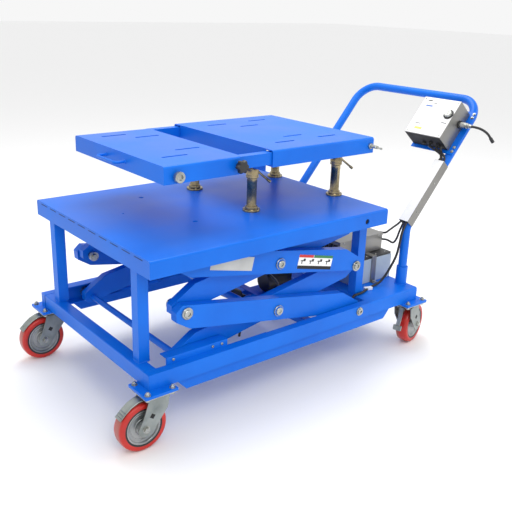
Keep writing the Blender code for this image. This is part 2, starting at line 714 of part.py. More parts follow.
# ---------------------------------------------------------------- top platform
def build_platform():
    body("platform", (JACK_X[0], JACK_Y[0], TABLE_TOP), "table")
    body("slide", (SLIDE_PLATE[0], PLATFORM_Y, SLIDE_TOP), "platform")
    left, right, half = MAIN_PLATE
    bm = bmesh.new()
    folded_tray(bm, (left, right), PLATFORM_Y, half, PLATFORM_TOP, PLATFORM_DEPTH, SHEET, ("right",))
    inner = half - SHEET + 0.0015
    low = PLATFORM_TOP - PLATFORM_DEPTH + GAP
    foot = TABLE_TOP + GAP
    for x in JACK_X:
        start = max(x - 0.020, left + GAP)
        add_box(bm, (start, start + 0.040), (PLATFORM_Y - inner, PLATFORM_Y + inner), (low, low + 0.006))
        for y in JACK_Y:
            steps = [(0.020, JACK_POST_RADIUS), (low - foot - 0.009, JACK_POST_RADIUS)]
            steps += [(low - foot - 0.009, 0.0195), (low - foot + 0.002, 0.0195)]
            add_stack(bm, (x, y, foot), (0, 0, 1), steps, 16)
    flange = SLIDE_PLATE[2] - 0.033
    add_box(bm, (left + GAP, left + SHEET), (PLATFORM_Y - flange, PLATFORM_Y + flange), (0.7155, PLATFORM_TOP - 0.0015))
    main = weld(bm, "platform_main_plate", "platform", "blue_paint")
    middles = [(0.069, 0.220), (0.264, 0.232), (0.164, 0.150), (0.170, -0.080), (0.075, -0.150), (0.271, -0.142)]
    z = (PLATFORM_TOP - 0.02, PLATFORM_TOP + 0.01)
    cut(main, "platform", [slot_cutter(m, 0.036, 0.0055, MAIN_SLOT_SLANT, z) for m in middles])

    left, right, half = SLIDE_PLATE
    bm = bmesh.new()
    folded_tray(bm, (left, right), PLATFORM_Y, half, SLIDE_TOP, PLATFORM_DEPTH, SHEET, ("left",))
    for side in (-1, 1):
        y = sorted((PLATFORM_Y + side * (half - 0.001), PLATFORM_Y + side * (half - 0.030)))
        add_box(bm, (right - 0.010, SLIDE_RAIL_END), y, (0.7435, SLIDE_TOP - 0.0005))
    slide = weld(bm, "platform_slide_plate", "slide", "blue_paint")
    middles = [(-0.336, 0.242), (-0.247, 0.177), (-0.245, -0.060), (-0.338, -0.133)]
    z = (SLIDE_TOP - 0.02, SLIDE_TOP + 0.01)
    cut(slide, "slide", [slot_cutter(m, 0.040, 0.0055, SLIDE_SLOT_SLANT, z) for m in middles])
    build_grab_handle()
    build_platform_screws()
    build_jacks()


def build_grab_handle():
    x, z, out = SLIDE_PLATE[0] - GAP, 0.757, 0.034
    low, high, r = -0.026, 0.094, 0.014
    route = [Vector((x, low, z)), Vector((x - out + r, low, z))]
    route += [Vector((a, b, z)) for a, b in arc((x - out + r, low + r), r, 270, 180, 4)[1:]]
    route += [Vector((a, b, z)) for a, b in arc((x - out + r, high - r), r, 180, 90, 4)]
    route += [Vector((x, high, z))]
    tube("grab_handle", "slide", "blue_paint", [route], 0.0042, 3)


def build_platform_screws():
    near_slide = PLATFORM_Y - SLIDE_PLATE[2] - GAP
    near_main = PLATFORM_Y - MAIN_PLATE[2] - GAP
    outward = Vector((0, -1, 0))
    centre = Vector((-0.399, near_slide, 0.750))
    body("ring_pin", centre, "slide")
    bm = bmesh.new()
    add_stack(bm, centre, outward, [(0, 0.0115), (0.007, 0.0115), (0.007, 0.0165), (0.020, 0.0165)], 20)
    finish(bm, "ring_pin", "ring_pin", "zinc_plate", smooth=True)

    centre = Vector((-0.184, near_slide, 0.756))
    body("star_knob", centre, "slide")
    rings = []
    for depth, radius, lobe in ((0, 0.008, 0), (0.012, 0.008, 0), (0.012, 0.0190, 0.0025), (0.030, 0.0190, 0.0025)):
        ring = []
        for i in range(30):
            turn = 2 * math.pi * i / 30
            r = radius + lobe * math.cos(6 * turn)
            ring.append(centre + outward * depth + Vector((r * math.cos(turn), 0, r * math.sin(turn))))
        rings.append(ring)
    bm = bmesh.new()
    add_loft(bm, rings)
    finish(bm, "star_knob", "star_knob", "black_plastic", smooth=True)

    centre = Vector((0.381, near_main, 0.761))
    body("tee_screw", centre, "platform")
    bm = bmesh.new()
    add_stack(bm, centre, outward, [(0, 0.0105), (0.008, 0.0105), (0.008, 0.0055), (0.036, 0.0055)], 12)
    start, end = centre + Vector((-0.014, -0.0320, 0.003)), centre + Vector((0.026, -0.0320, -0.008))
    add_rod(bm, start, end, 0.0038, 10)
    weld(bm, "tee_screw", "tee_screw", "zinc_plate", smooth=True)


def build_jacks():
    """Each jack: a flanged tube on the table, and a collar with a lever that clamps the platform's post."""
    foot = TABLE_TOP + GAP
    inner = JACK_POST_RADIUS + 0.0004
    profile = [(inner, 0.0), (0.0290, 0.0), (0.0290, 0.0075), (0.0205, 0.0090), (0.0205, 0.0150)]
    profile += [(JACK_TUBE_RADIUS, 0.0170), (JACK_TUBE_RADIUS, 0.1110), (inner, 0.1110)]
    low = foot + 0.1113
    for i, x in enumerate(JACK_X):
        for j, y in enumerate(JACK_Y):
            which = f"{('near', 'far')[j]}_{('left', 'right')[i]}"
            bm = bmesh.new()
            add_turned(bm, (x, y, foot), (0, 0, 1), profile, 16)
            finish(bm, f"jack_stand_{which}", "table", "yellow_zinc", smooth=True)
            name = f"jack_lever_{which}"
            body(name, (x, y, low), "table")
            bm = bmesh.new()
            add_ring(bm, (x, y, 0), (0, 0, 1), inner, 0.0210, low, low + 0.032, 16)
            out = Vector((0.78, -0.62, 0)) if j == 0 else Vector((0.78, 0.62, 0))
            start = Vector((x, y, low + 0.021)) + out * 0.0165
            end = Vector((x, y, low - 0.014)) + out * 0.0600
            add_rod(bm, start, end, 0.0048, 10)
            weld(bm, name, name, "yellow_zinc", smooth=True)


# ---------------------------------------------------------------- power pack
def build_power_pack():
    floor = RAIL_TOP + GAP
    for x, which in (((0.3740, 0.4715), "left"), ((0.4765, 0.5740), "right")):
        bm = bmesh.new()
        steps = [(floor, 0), (floor + 0.092, 0), (floor + 0.092, 0.003), (floor + 0.101, 0.003)]
        add_stepped_box(bm, x, (-0.228, -0.077), steps)
        finish(bm, f"battery_{which}", "base", "battery_grey")
    top = floor + 0.1013
    outline = [(-0.2470, floor), (-0.2470, floor + 0.003), (-0.2320, floor + 0.003), (-0.2320, top + 0.002)]
    outline += [(-0.0730, top + 0.002), (-0.0730, floor), (-0.0765, floor), (-0.0765, top)]
    outline += [(-0.2285, top), (-0.2285, floor)]
    bm = bmesh.new()
    add_prism_x(bm, outline, (0.4620, 0.4860))
    finish(bm, "battery_strap", "base", "brushed_steel")
    low = top + 0.0023
    steps = [(low, 0.0015), (low + 0.056, 0.0015), (low + 0.056, 0), (low + 0.066, 0)]
    bm = bmesh.new()
    add_stepped_box(bm, (0.3285, 0.5595), (-0.1895, -0.0285), steps)
    finish(bm, "power_unit_case", "base", "brushed_steel")
    bm = bmesh.new()
    motor = Vector((0.132, 0.0, 0.2340))
    add_rod(bm, motor, motor + Vector((0.085, 0, 0)), 0.036, 20)
    add_box(bm, (0.214, 0.246), (-0.030, 0.030), (0.2010, 0.2690))
    add_box(bm, (0.150, 0.200), (-0.026, 0.026), (0.1936, 0.2100))
    weld(bm, "pump_motor", "base", "black_plastic")


# ---------------------------------------------------------------- push handle and control box
SLOPE = Vector((math.cos(HANDLE_SLOPE), 0, math.sin(HANDLE_SLOPE)))
FACE = Vector((-math.sin(HANDLE_SLOPE), 0, math.cos(HANDLE_SLOPE)))
BEND = Vector((HANDLE_X, 0, HANDLE_BEND_Z))


def on_handle(along, y, out):
    """A point given along the handle's slope, across it, and out from its middle plane."""
    return BEND + SLOPE * along + FACE * out + Vector((0, y, 0))


def add_handle_box(bm, along, y, out):
    corners = [(along[0], y[0]), (along[1], y[0]), (along[1], y[1]), (along[0], y[1])]
    add_loft(bm, [[on_handle(a, b, h) for a, b in corners] for h in out])


def build_handle():
    side = []
    side.append(Vector((HANDLE_X, 0, RAIL_TOP + GAP)))
    bend = 0.050
    turn = math.pi / 2 - HANDLE_SLOPE
    cut_back = bend * math.tan(turn / 2)
    centre = Vector((HANDLE_X + bend, 0, HANDLE_BEND_Z - cut_back))
    for i in range(5):
        a = math.pi - turn * i / 4
        side.append(centre + Vector((bend * math.cos(a), 0, bend * math.sin(a))))
    corner, reach = 0.085, HANDLE_REACH
    arc_points = []
    for i in range(9):
        a = math.pi / 2 * i / 8
        arc_points.append((reach - corner + corner * math.sin(a), HANDLE_Y - corner + corner * math.cos(a)))
    near = [p + Vector((0, -HANDLE_Y, 0)) for p in side] + [on_handle(s, -y, 0) for s, y in arc_points]
    far = [p + Vector((0, HANDLE_Y, 0)) for p in side] + [on_handle(s, y, 0) for s, y in arc_points]
    tube("push_handle", "base", "blue_paint", [near + far[::-1]], HANDLE_RADIUS, 4)

    bm = bmesh.new()
    r = HANDLE_RADIUS + GAP
    wall, out_top = 0.0015, 0.0360
    y0, y1 = -HANDLE_Y - r - 0.0045, -HANDLE_Y + r + 0.0045
    outline = [(y0, -0.002), (y0, out_top), (y1, out_top), (y1, -0.002)]
    outline += [(y1 - wall, -0.002), (y1 - wall, out_top - wall), (y0 + wall, out_top - wall), (y0 + wall, -0.002)]
    add_loft(bm, [[on_handle(s, y, o) for y, o in outline] for s in (0.006, 0.273)])
    finish(bm, "cable_cover", "base", "white_enamel")


def build_control_box():
    y = (-0.300, -0.135)
    bm = bmesh.new()
    add_handle_box(bm, (0.327, 0.490), y, (0.0200, 0.1000))
    box = finish(bm, "control_box", "base", "white_enamel")
    stem = on_handle(0.444, y[1], 0.060)
    cut(box, "base", [rod_cutter(stem - Vector((0, 0.006, 0)), stem + Vector((0, 0.004, 0)), 0.0078)])

    foot = on_handle(0.428, -0.279, 0.1003)
    body("dial", foot, "base")
    bm = bmesh.new()
    add_stack(bm, foot, FACE, [(0, 0.0200), (0.003, 0.0200), (0.003, 0.0160), (0.012, 0.0145)], 24)
    finish(bm, "dial_knob", "dial", "black_plastic", smooth=True)

    foot = on_handle(0.444, y[1] + GAP, 0.060)
    body("stop_button", foot, "base")
    bm = bmesh.new()
    add_stack(bm, foot, (0, 1, 0), [(0, 0.0070), (0.009, 0.0070), (0.009, 0.0125), (0.017, 0.0125)], 20)
    finish(bm, "stop_button", "stop_button", "black_plastic", smooth=True)

    foot = on_handle(0.428, y[0] - GAP, 0.044)
    bm = bmesh.new()
    steps = [(0, 0.0145), (0.006, 0.0145), (0.006, 0.0100), (0.034, 0.0100), (0.034, 0.0085), (0.054, 0.0060)]
    add_stack(bm, foot, (0, -1, 0), steps, 20)
    finish(bm, "cable_connector", "base", "zinc_plate", smooth=True)
    return foot - Vector((0, 0.0543, 0))


# ---------------------------------------------------------------- cables
def build_cables(connector_end):
    route = [connector_end + Vector(p) for p in LEAD_ROUTE]
    tube("remote_lead", "base", "cable_black", [smooth_route(route, 0.012)], 0.0045, 2)
    end = route[-1]
    direction = (route[-1] - route[-2]).normalized()
    bm = bmesh.new()
    add_rod(bm, end + direction * GAP, end + direction * 0.022, 0.0065, 12)
    finish(bm, "remote_lead_plug", "base", "black_plastic", smooth=True)

    y = -HANDLE_Y
    top = [on_handle(0.3262, y + 0.018, 0.043), on_handle(0.316, y + 0.018, 0.043)]
    top += [on_handle(0.297, y + 0.008, 0.034), on_handle(0.270, y, 0.0262), on_handle(0.200, y, 0.0260)]
    tube("control_cable", "base", "cable_black", [smooth_route(top, 0.014)], 0.0055, 2)

    for name, (offset, radius, points) in COVER_CABLES.items():
        out = on_handle(0.013, y + offset, 0.0280)
        route = [out, *(Vector(p) for p in points)]
        tube(name, "base", "cable_black", [smooth_route(route, 0.011)], radius, 2)


COVER_CABLES = {  # name: offset across the cover, radius, route from the cover's lower end
    "case_cable": (
        0.011,
        0.0032,
        [(0.531, -0.278, 0.464), (0.546, -0.252, 0.446), (0.568, -0.215, 0.420), (0.578, -0.184, 0.397), (0.572, -0.160, 0.394), (0.5612, -0.157, 0.394)],
    ),
    "deck_cable": (
        -0.011,
        0.0045,
        [
            (0.525, -0.307, 0.440),
            (0.521, -0.304, 0.400),
            (0.517, -0.299, 0.355),
            (0.507, -0.290, 0.315),
            (0.490, -0.280, 0.275),
            (0.466, -0.272, 0.246),
            (0.435, -0.270, 0.2390),
            (0.395, -0.278, 0.2385),
            (0.355, -0.2915, 0.2385),
            (0.328, -0.2935, 0.2387),
            (0.311, -0.2930, 0.2365),
            (0.3035, -0.2920, 0.2260),
            (0.3025, -0.2910, 0.2120),
        ],
    ),
}

LEAD_ROUTE = [
    (0.0, -0.0006, 0.0),
    (0.0, -0.014, 0.0),
    (0.006, -0.030, -0.003),
    (0.013, -0.046, -0.010),
    (0.020, -0.058, -0.020),
    (0.025, -0.066, -0.032),
]

build_base()
for caster_name, (caster_x, caster_y, caster_heading) in CASTERS.items():
    build_caster(caster_name, caster_x, caster_y, caster_heading)
build_scissors()
build_cylinder()
build_table()
build_platform()
build_power_pack()
build_handle()
build_cables(build_control_box())
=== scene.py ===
"""The scissor lift table as it looks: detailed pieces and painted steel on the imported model."""

import math

import bmesh
import bpy
from mathutils import Matrix, Vector


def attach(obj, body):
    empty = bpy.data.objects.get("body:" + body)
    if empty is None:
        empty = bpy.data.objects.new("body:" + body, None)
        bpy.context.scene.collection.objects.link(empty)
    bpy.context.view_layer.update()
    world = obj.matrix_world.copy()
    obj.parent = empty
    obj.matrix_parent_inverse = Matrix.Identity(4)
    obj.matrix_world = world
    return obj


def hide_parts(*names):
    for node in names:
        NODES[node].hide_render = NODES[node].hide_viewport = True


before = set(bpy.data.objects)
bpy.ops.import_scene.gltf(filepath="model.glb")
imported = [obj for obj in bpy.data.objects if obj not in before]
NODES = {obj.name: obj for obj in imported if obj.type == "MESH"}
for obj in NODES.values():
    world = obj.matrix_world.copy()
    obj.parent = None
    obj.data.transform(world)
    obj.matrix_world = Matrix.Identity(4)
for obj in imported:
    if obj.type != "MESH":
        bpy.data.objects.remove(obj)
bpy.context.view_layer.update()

# ---------------------------------------------------------------- places, in metres
CENTRE_X = 0.1337  # from the base frame's middle to the world's origin
WHEEL_RADIUS = 0.0762
TRAIL = 0.045
CASTERS = {
    "near_left": (-0.549, -0.344, 180.0),
    "far_left": (-0.549, 0.344, 180.0),
    "near_right": (0.549, -0.344, 15.0),
    "far_right": (0.549, 0.344, -10.0),
}
JACKS = {
    "near_left": (-0.041, -0.130),
    "near_right": (0.339, -0.130),
    "far_left": (-0.041, 0.200),
    "far_right": (0.339, 0.200),
}
HANDLE_SLOPE = math.radians(49.6)
SLOPE = Vector((math.cos(HANDLE_SLOPE), 0, math.sin(HANDLE_SLOPE)))
FACE = Vector((-math.sin(HANDLE_SLOPE), 0, math.cos(HANDLE_SLOPE)))
HANDLE_X, HANDLE_Y, HANDLE_RADIUS, HANDLE_BEND_Z = 0.555, 0.300, 0.016, 0.455
PIVOT_X, ROLLER_X, CENTRE_PIN_X = 0.266, -0.426, -0.080
TABLE_HOLE_X, TABLE_HOLE_Z = 0.266, 0.539
PIVOT_Z, LOWER_CENTRE_Z, JOINT_Z, UPPER_CENTRE_Z = 0.214, 0.29325, 0.3725, 0.45175
UP, ACROSS, LENGTHWISE = Vector((0, 0, 1)), Vector((0, 1, 0)), Vector((1, 0, 0))
PIN_HEAD_Y = 0.3302  # where the pin heads sit, outside the outer arms
SOCKET_Z = 0.2336  # the height of the handle's feet and of the welds round its sockets
BATTERY_Y = -0.1525
HAIR = 0.0003  # the gap that keeps the faces of two pieces apart
PLATFORM_Y, SLIDE_HALF, MAIN_HALF = 0.035, 0.2745, 0.2795
NEAR_SLIDE = PLATFORM_Y - SLIDE_HALF - HAIR
NEAR_MAIN = PLATFORM_Y - MAIN_HALF - HAIR
GLANDS = ((-0.268, 0.050), (-0.240, 0.058), (-0.205, 0.050))  # y, and out from the handle's middle plane


def at(x, y, z):
    return Vector((x - CENTRE_X, y, z))


def on_handle(along, y, out):
    """A point given along the handle's slope, across it, and out from its middle plane."""
    return at(HANDLE_X, y, HANDLE_BEND_Z) + SLOPE * along + FACE * out


CONNECTOR_FOOT = on_handle(0.428, -0.3003, 0.044)


# ---------------------------------------------------------------- camera, floor and light
def make_camera():
    data = bpy.data.cameras.new("camera")
    data.lens, data.sensor_width = 50.24, 36.0
    camera = bpy.data.objects.new("camera", data)
    bpy.context.scene.collection.objects.link(camera)
    camera.location = at(-1.4595, -1.8908, 1.2223)
    right = (0.77965, -0.62544, 0.03131)
    up = (0.18865, 0.28226, 0.94061)
    back = (-0.59713, -0.72743, 0.33805)
    camera.rotation_euler = Matrix((right, up, back)).transposed().to_euler()
    bpy.context.scene.camera = camera


def make_light(name, place, target, size, power):
    data = bpy.data.lights.new(name, "AREA")
    data.shape, data.size, data.energy = "DISK", size, power
    light = bpy.data.objects.new(name, data)
    bpy.context.scene.collection.objects.link(light)
    light.location = place
    light.rotation_euler = (Vector(target) - Vector(place)).to_track_quat("-Z", "Y").to_euler()


def make_stage():
    bm = bmesh.new()
    bmesh.ops.create_grid(bm, x_segments=1, y_segments=1, size=30.0)
    mesh = bpy.data.meshes.new("floor")
    bm.to_mesh(mesh)
    bm.free()
    floor = bpy.data.objects.new("floor", mesh)
    bpy.context.scene.collection.objects.link(floor)
    material = bpy.data.materials.new("floor")
    material.use_nodes = True
    shader = material.node_tree.nodes["Principled BSDF"]
    shader.inputs["Base Color"].default_value = (0.93, 0.93, 0.93, 1)
    shader.inputs["Roughness"].default_value = 0.9
    mesh.materials.append(material)
    world = bpy.data.worlds.new("studio")
    bpy.context.scene.world = world
    world.use_nodes = True
    world.node_tree.nodes["Background"].inputs["Color"].default_value = (1.0, 1.0, 1.0, 1)
    world.node_tree.nodes["Background"].inputs["Strength"].default_value = 0.93
    make_light("key", (-1.4, -2.8, 3.0), (0, 0, 0.5), 1.8, 36)
    make_light("top", (0.4, 0.8, 3.4), (0, 0, 0.5), 2.4, 62)
    make_light("side", (2.8, -1.6, 1.6), (0, 0, 0.5), 1.6, 10)
    bpy.context.scene.view_settings.view_transform = "Standard"


make_camera()
make_stage()


# ---------------------------------------------------------------- materials
def node(tree, kind, **inputs):
    made = tree.nodes.new(kind)
    for name, value in inputs.items():
        made.inputs[name.replace("_", " ")].default_value = value
    return made


def surface(name, dark, light, roughness, metallic, grain, bump, bump_grain, rough_spread=0.08):
    """A procedural finish: colour drifts between two tones, with fine relief and uneven gloss."""
    material = bpy.data.materials.new(name)
    material.use_nodes = True
    tree = material.node_tree
    shader = tree.nodes["Principled BSDF"]
    link = tree.links.new
    place = node(tree, "ShaderNodeTexCoord").outputs["Object"]
    drift = node(tree, "ShaderNodeTexNoise", Scale=grain, Detail=4.0, Roughness=0.55)
    ramp = node(tree, "ShaderNodeValToRGB")
    ramp.color_ramp.elements[0].position, ramp.color_ramp.elements[1].position = 0.32, 0.68
    ramp.color_ramp.elements[0].color = (*dark, 1)
    ramp.color_ramp.elements[1].color = (*light, 1)
    gloss = node(tree, "ShaderNodeMapRange", From_Min=0.3, From_Max=0.7)
    gloss.inputs["To Min"].default_value = roughness - rough_spread
    gloss.inputs["To Max"].default_value = roughness + rough_spread
    fine = node(tree, "ShaderNodeTexNoise", Scale=bump_grain, Detail=2.0)
    relief = node(tree, "ShaderNodeBump", Strength=bump, Distance=0.001)
    link(place, drift.inputs["Vector"])
    link(place, fine.inputs["Vector"])
    link(drift.outputs["Fac"], ramp.inputs["Fac"])
    link(ramp.outputs["Color"], shader.inputs["Base Color"])
    link(drift.outputs["Fac"], gloss.inputs["Value"])
    link(gloss.outputs["Result"], shader.inputs["Roughness"])
    link(fine.outputs["Fac"], relief.inputs["Height"])
    link(relief.outputs["Normal"], shader.inputs["Normal"])
    shader.inputs["Metallic"].default_value = metallic
    return material


def ink(name, dark, light):
    return surface(name, dark, light, 0.45, 0.0, 20.0, 0.02, 500.0)


BLUE = surface("blue_powder_coat", (0.001, 0.122, 0.62), (0.002, 0.160, 0.74), 0.36, 0, 3.0, 0.05, 380.0)
BLUE.node_tree.nodes["Principled BSDF"].inputs["Specular IOR Level"].default_value = 0.24
ZINC = surface("zinc_plate", (0.20, 0.225, 0.215), (0.38, 0.41, 0.39), 0.34, 0.85, 14.0, 0.05, 260.0)
PALE_ZINC = surface("pale_zinc", (0.30, 0.31, 0.29), (0.52, 0.53, 0.50), 0.28, 0.9, 30.0, 0.04, 400.0)
YELLOW_ZINC = surface("yellow_zinc", (0.15, 0.13, 0.085), (0.46, 0.37, 0.21), 0.24, 0.95, 26.0, 0.03, 300.0)
STEEL = surface("brushed_steel", (0.235, 0.23, 0.22), (0.31, 0.305, 0.29), 0.32, 0.8, 5.0, 0.06, 420.0, 0.04)
ENAMEL = surface("pale_enamel", (0.78, 0.78, 0.77), (0.88, 0.88, 0.87), 0.34, 0.0, 9.0, 0.03, 420.0)
BLACK = surface("black_plastic", (0.010, 0.010, 0.011), (0.022, 0.022, 0.024), 0.42, 0.0, 20.0, 0.15, 700.0)
RUBBER = surface("cable_rubber", (0.008, 0.008, 0.009), (0.018, 0.018, 0.019), 0.46, 0.0, 30.0, 0.10, 900.0)
BATTERY = surface("battery_case", (0.34, 0.42, 0.50), (0.42, 0.50, 0.58), 0.42, 0.0, 12.0, 0.12, 600.0)
ALLOY = surface("cast_hub", (0.26, 0.28, 0.285), (0.46, 0.47, 0.47), 0.38, 0.75, 16.0, 0.20, 220.0)
# Near black for print, seams and gaps, and as painted shade behind the tray's holes and under the side rails
DARK = surface("dark_gaps_print_and_painted_shade", (0.006, 0.006, 0.008), (0.014, 0.014, 0.016), 0.7, 0.0, 20.0, 0.05, 300.0)
PLATE = surface("plate_silver", (0.42, 0.43, 0.42), (0.55, 0.56, 0.55), 0.38, 0.2, 9.0, 0.03, 420.0)
WHITE = surface("white_print", (0.80, 0.80, 0.79), (0.90, 0.90, 0.89), 0.40, 0.0, 20.0, 0.02, 500.0)
PRINT_BLUE = ink("blue_print", (0.05, 0.13, 0.45), (0.08, 0.18, 0.55))
PRINT_YELLOW = ink("yellow_print", (0.75, 0.62, 0.10), (0.85, 0.72, 0.16))
PRINT_GREEN = ink("green_print", (0.02, 0.16, 0.05), (0.03, 0.22, 0.07))
PRINT_RED = ink("red_print", (0.55, 0.02, 0.02), (0.65, 0.04, 0.03))


def tread_material():
    """Red polyurethane, greyed in noisy patches towards its running surface."""
    dark, light = (0.42, 0.012, 0.008), (0.60, 0.028, 0.018)
    material = surface("red_polyurethane", dark, light, 0.34, 0, 12.0, 0.08, 260.0)
    tree = material.node_tree
    shader = tree.nodes["Principled BSDF"]
    ramp = next(part for part in tree.nodes if part.type == "VALTORGB")
    place = next(part for part in tree.nodes if part.type == "TEX_COORD")
    split = node(tree, "ShaderNodeSeparateXYZ")
    size = node(tree, "ShaderNodeVectorMath")
    size.operation = "LENGTH"
    flat = node(tree, "ShaderNodeCombineXYZ")
    # Grey-brown laid over the red near the rim, in noisy patches
    running_band = node(tree, "ShaderNodeMapRange", From_Min=WHEEL_RADIUS - 0.0016, From_Max=WHEEL_RADIUS - 0.0002)
    noise = node(tree, "ShaderNodeTexNoise", Scale=60.0, Detail=5.0)
    amount = node(tree, "ShaderNodeMath")
    amount.operation = "MULTIPLY"
    mix = node(tree, "ShaderNodeMix")
    mix.data_type = "RGBA"
    mix.inputs["B"].default_value = (0.26, 0.17, 0.14, 1)
    link = tree.links.new
    link(place.outputs["Object"], split.inputs[0])
    link(split.outputs["X"], flat.inputs["X"])
    link(split.outputs["Z"], flat.inputs["Z"])
    link(flat.outputs[0], size.inputs[0])
    link(size.outputs["Value"], running_band.inputs["Value"])
    link(running_band.outputs["Result"], amount.inputs[0])
    link(noise.outputs["Fac"], amount.inputs[1])
    link(amount.outputs[0], mix.inputs["Factor"])
    link(ramp.outputs["Color"], mix.inputs["A"])
    link(mix.outputs["Result"], shader.inputs["Base Color"])
    return material


TREAD = tread_material()


# ---------------------------------------------------------------- shapes
def circle(radius, n):
    turn = 2 * math.pi / n
    return [(radius * math.cos(i * turn), radius * math.sin(i * turn)) for i in range(n)]


def mirrored(half):
    """A (radius, height) profile followed by its mirror image."""
    return half + [(r, -h) for r, h in half[::-1]]


def across(axis):
    """Two directions square to an axis and to each other."""
    axis = Vector(axis).normalized()
    side = UP if abs(axis.z) < 0.9 else LENGTHWISE
    first = axis.cross(side).normalized()
    return first, axis.cross(first).normalized()


def add_loft(bm, rings):
    """A solid skinned over rings of points, with flat ends."""
    made = [[bm.verts.new(p) for p in ring] for ring in rings]
    n = len(made[0])
    for a, b in zip(made, made[1:]):
        for i in range(n):
            bm.faces.new((a[i], a[(i + 1) % n], b[(i + 1) % n], b[i]))
    bm.faces.new(made[0][::-1])
    bm.faces.new(made[-1])


def add_box(bm, centre, x, y, z, half):
    """A box about a centre, with its half sizes along three directions."""
    centre = Vector(centre)
    x, y, z = Vector(x) * half[0], Vector(y) * half[1], Vector(z) * half[2]
    add_loft(bm, [[centre + w + u + v for u, v in ((-x, -y), (x, -y), (x, y), (-x, y))] for w in (-z, z)])


def add_stack(bm, foot, axis, steps, n=32):
    """A round solid built up along an axis from (height, radius) steps."""
    foot, axis = Vector(foot), Vector(axis).normalized()
    first, second = across(axis)
    rings = [[foot + axis * h + first * a + second * b for a, b in circle(r, n)] for h, r in steps]
    add_loft(bm, rings)


def add_turned(bm, centre, axis, profile, n=48):
    """A closed (radius, height) profile turned about an axis that it doesn't touch."""
    centre, axis = Vector(centre), Vector(axis).normalized()
    first, second = across(axis)
    rings = []
    for a, b in circle(1.0, n):
        out = first * a + second * b
        rings.append([bm.verts.new(centre + out * r + axis * h) for r, h in profile])
    m = len(profile)
    for i, ring in enumerate(rings):
        after = rings[(i + 1) % n]
        for k in range(m):
            bm.faces.new((ring[k], after[k], after[(k + 1) % m], ring[(k + 1) % m]))


def add_socket_head(bm, foot, axis, radius, height):
    """A round screw head with a recess in its face."""
    rim = radius * 0.12
    outer = [(0, radius), (height - rim, radius), (height, radius - rim)]
    recess = [(height, radius * 0.50), (height * 0.45, radius * 0.48)]
    add_stack(bm, foot, axis, outer + recess, 24)


def add_hex_head(bm, foot, axis, radius, height, washer=0.0):
    """A hexagon head, on a washer where a radius is given for one."""
    foot, axis = Vector(foot), Vector(axis).normalized()
    thickness = 0.0014
    if washer:
        add_stack(bm, foot, axis, [(0, washer), (thickness, washer)], 28)
        foot = foot + axis * thickness
    top = height * 0.86
    add_stack(bm, foot, axis, [(0, radius), (top, radius), (height, radius * 0.86)], 6)


def make(name, bm, material, body, bevel=0.0, origin=None, angle=35):
    """Turns a bmesh in the world frame into a piece that rides on a body."""
    bmesh.ops.recalc_face_normals(bm, faces=bm.faces)
    mesh = bpy.data.meshes.new(name)
    if origin is not None:
        bmesh.ops.translate(bm, verts=bm.verts, vec=-Vector(origin))
    bm.to_mesh(mesh)
    bm.free()
    mesh.shade_smooth()
    mesh.set_sharp_from_angle(angle=math.radians(angle))
    mesh.materials.append(material)
    obj = bpy.data.objects.new(name, mesh)
    bpy.context.scene.collection.objects.link(obj)
    if origin is not None:
        obj.location = origin
    if bevel:
        add_bevel(obj, bevel)
    bpy.context.view_layer.update()
    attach(obj, body)
    return obj


def add_bevel(obj, width, segments=2):
    modifier = obj.modifiers.new("soft_edges", "BEVEL")
    modifier.width = width
    modifier.segments = segments
    modifier.limit_method = "ANGLE"
    modifier.angle_limit = math.radians(38)
    modifier.harden_normals = True
    modifier.use_clamp_overlap = True


def paint(name, material, bevel, segments=2):
    """Gives a CAD node its finish and soft edges."""
    obj = NODES[name]
    mesh = obj.data
    mesh.materials.clear()
    mesh.materials.append(material)
    if "custom_normal" in mesh.attributes:
        mesh.attributes.remove(mesh.attributes["custom_normal"])
    mesh.shade_smooth()
    weld = obj.modifiers.new("weld", "WELD")
    weld.merge_threshold = 0.00002
    add_bevel(obj, bevel, segments)
    normals = obj.modifiers.new("normals", "WEIGHTED_NORMAL")
    normals.keep_sharp = True


def smooth_route(points, step=0.006):
    """Points about a step apart along a smooth curve through the given points."""
    points = [Vector(p) for p in points]
    whole = [points[0] * 2 - points[1]] + points + [points[-1] * 2 - points[-2]]
    route = [points[0]]
    for a, b, c, d in zip(whole, whole[1:], whole[2:], whole[3:]):
        n = max(1, round((c - b).length / step))
        for i in range(1, n + 1):
            t = i / n
            bend = (2 * a - 5 * b + 4 * c - d) * t**2 + (3 * b - a - 3 * c + d) * t**3
            route.append(0.5 * (2 * b + (c - a) * t + bend))
    return route


def tube(name, route, radius, material, body, resolution=5):
    """A round cable, hose or bar along a route."""
    curve = bpy.data.curves.new(name, "CURVE")
    curve.dimensions = "3D"
    curve.bevel_depth, curve.bevel_resolution = radius, resolution
    curve.use_fill_caps = True
    spline = curve.splines.new("POLY")
    spline.points.add(len(route) - 1)
    for point, place in zip(spline.points, route):
        point.co = (*place, 1.0)
    spline.use_smooth = True
    curve.materials.append(material)
    obj = bpy.data.objects.new(name, curve)
    bpy.context.scene.collection.objects.link(obj)
    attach(obj, body)
    return obj


# ---------------------------------------------------------------- remote lead
def build_remote_lead():
    exit_point = CONNECTOR_FOOT - ACROSS * 0.0543
    offsets = [
        (0.0, -0.0006, 0.0),
        (0.0, -0.014, 0.0),
        (0.006, -0.030, -0.003),
        (0.013, -0.046, -0.010),
        (0.020, -0.058, -0.020),
        (0.025, -0.066, -0.032),
    ]
    route = smooth_route([exit_point + Vector(p) for p in offsets], 0.005)
    lead = tube("remote_lead_cable", route, 0.0045, RUBBER, "base", 6)
    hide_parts("remote_lead")
    end, direction = route[-1], (route[-1] - route[-2]).normalized()
    bm = bmesh.new()
    steps = [(0.0004, 0.0050), (0.003, 0.0062), (0.019, 0.0064), (0.0212, 0.0055)]
    add_stack(bm, end, direction, steps, 32)
    plug = make("remote_lead_end", bm, BLACK, "base")
    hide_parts("remote_lead_plug")


build_remote_lead()


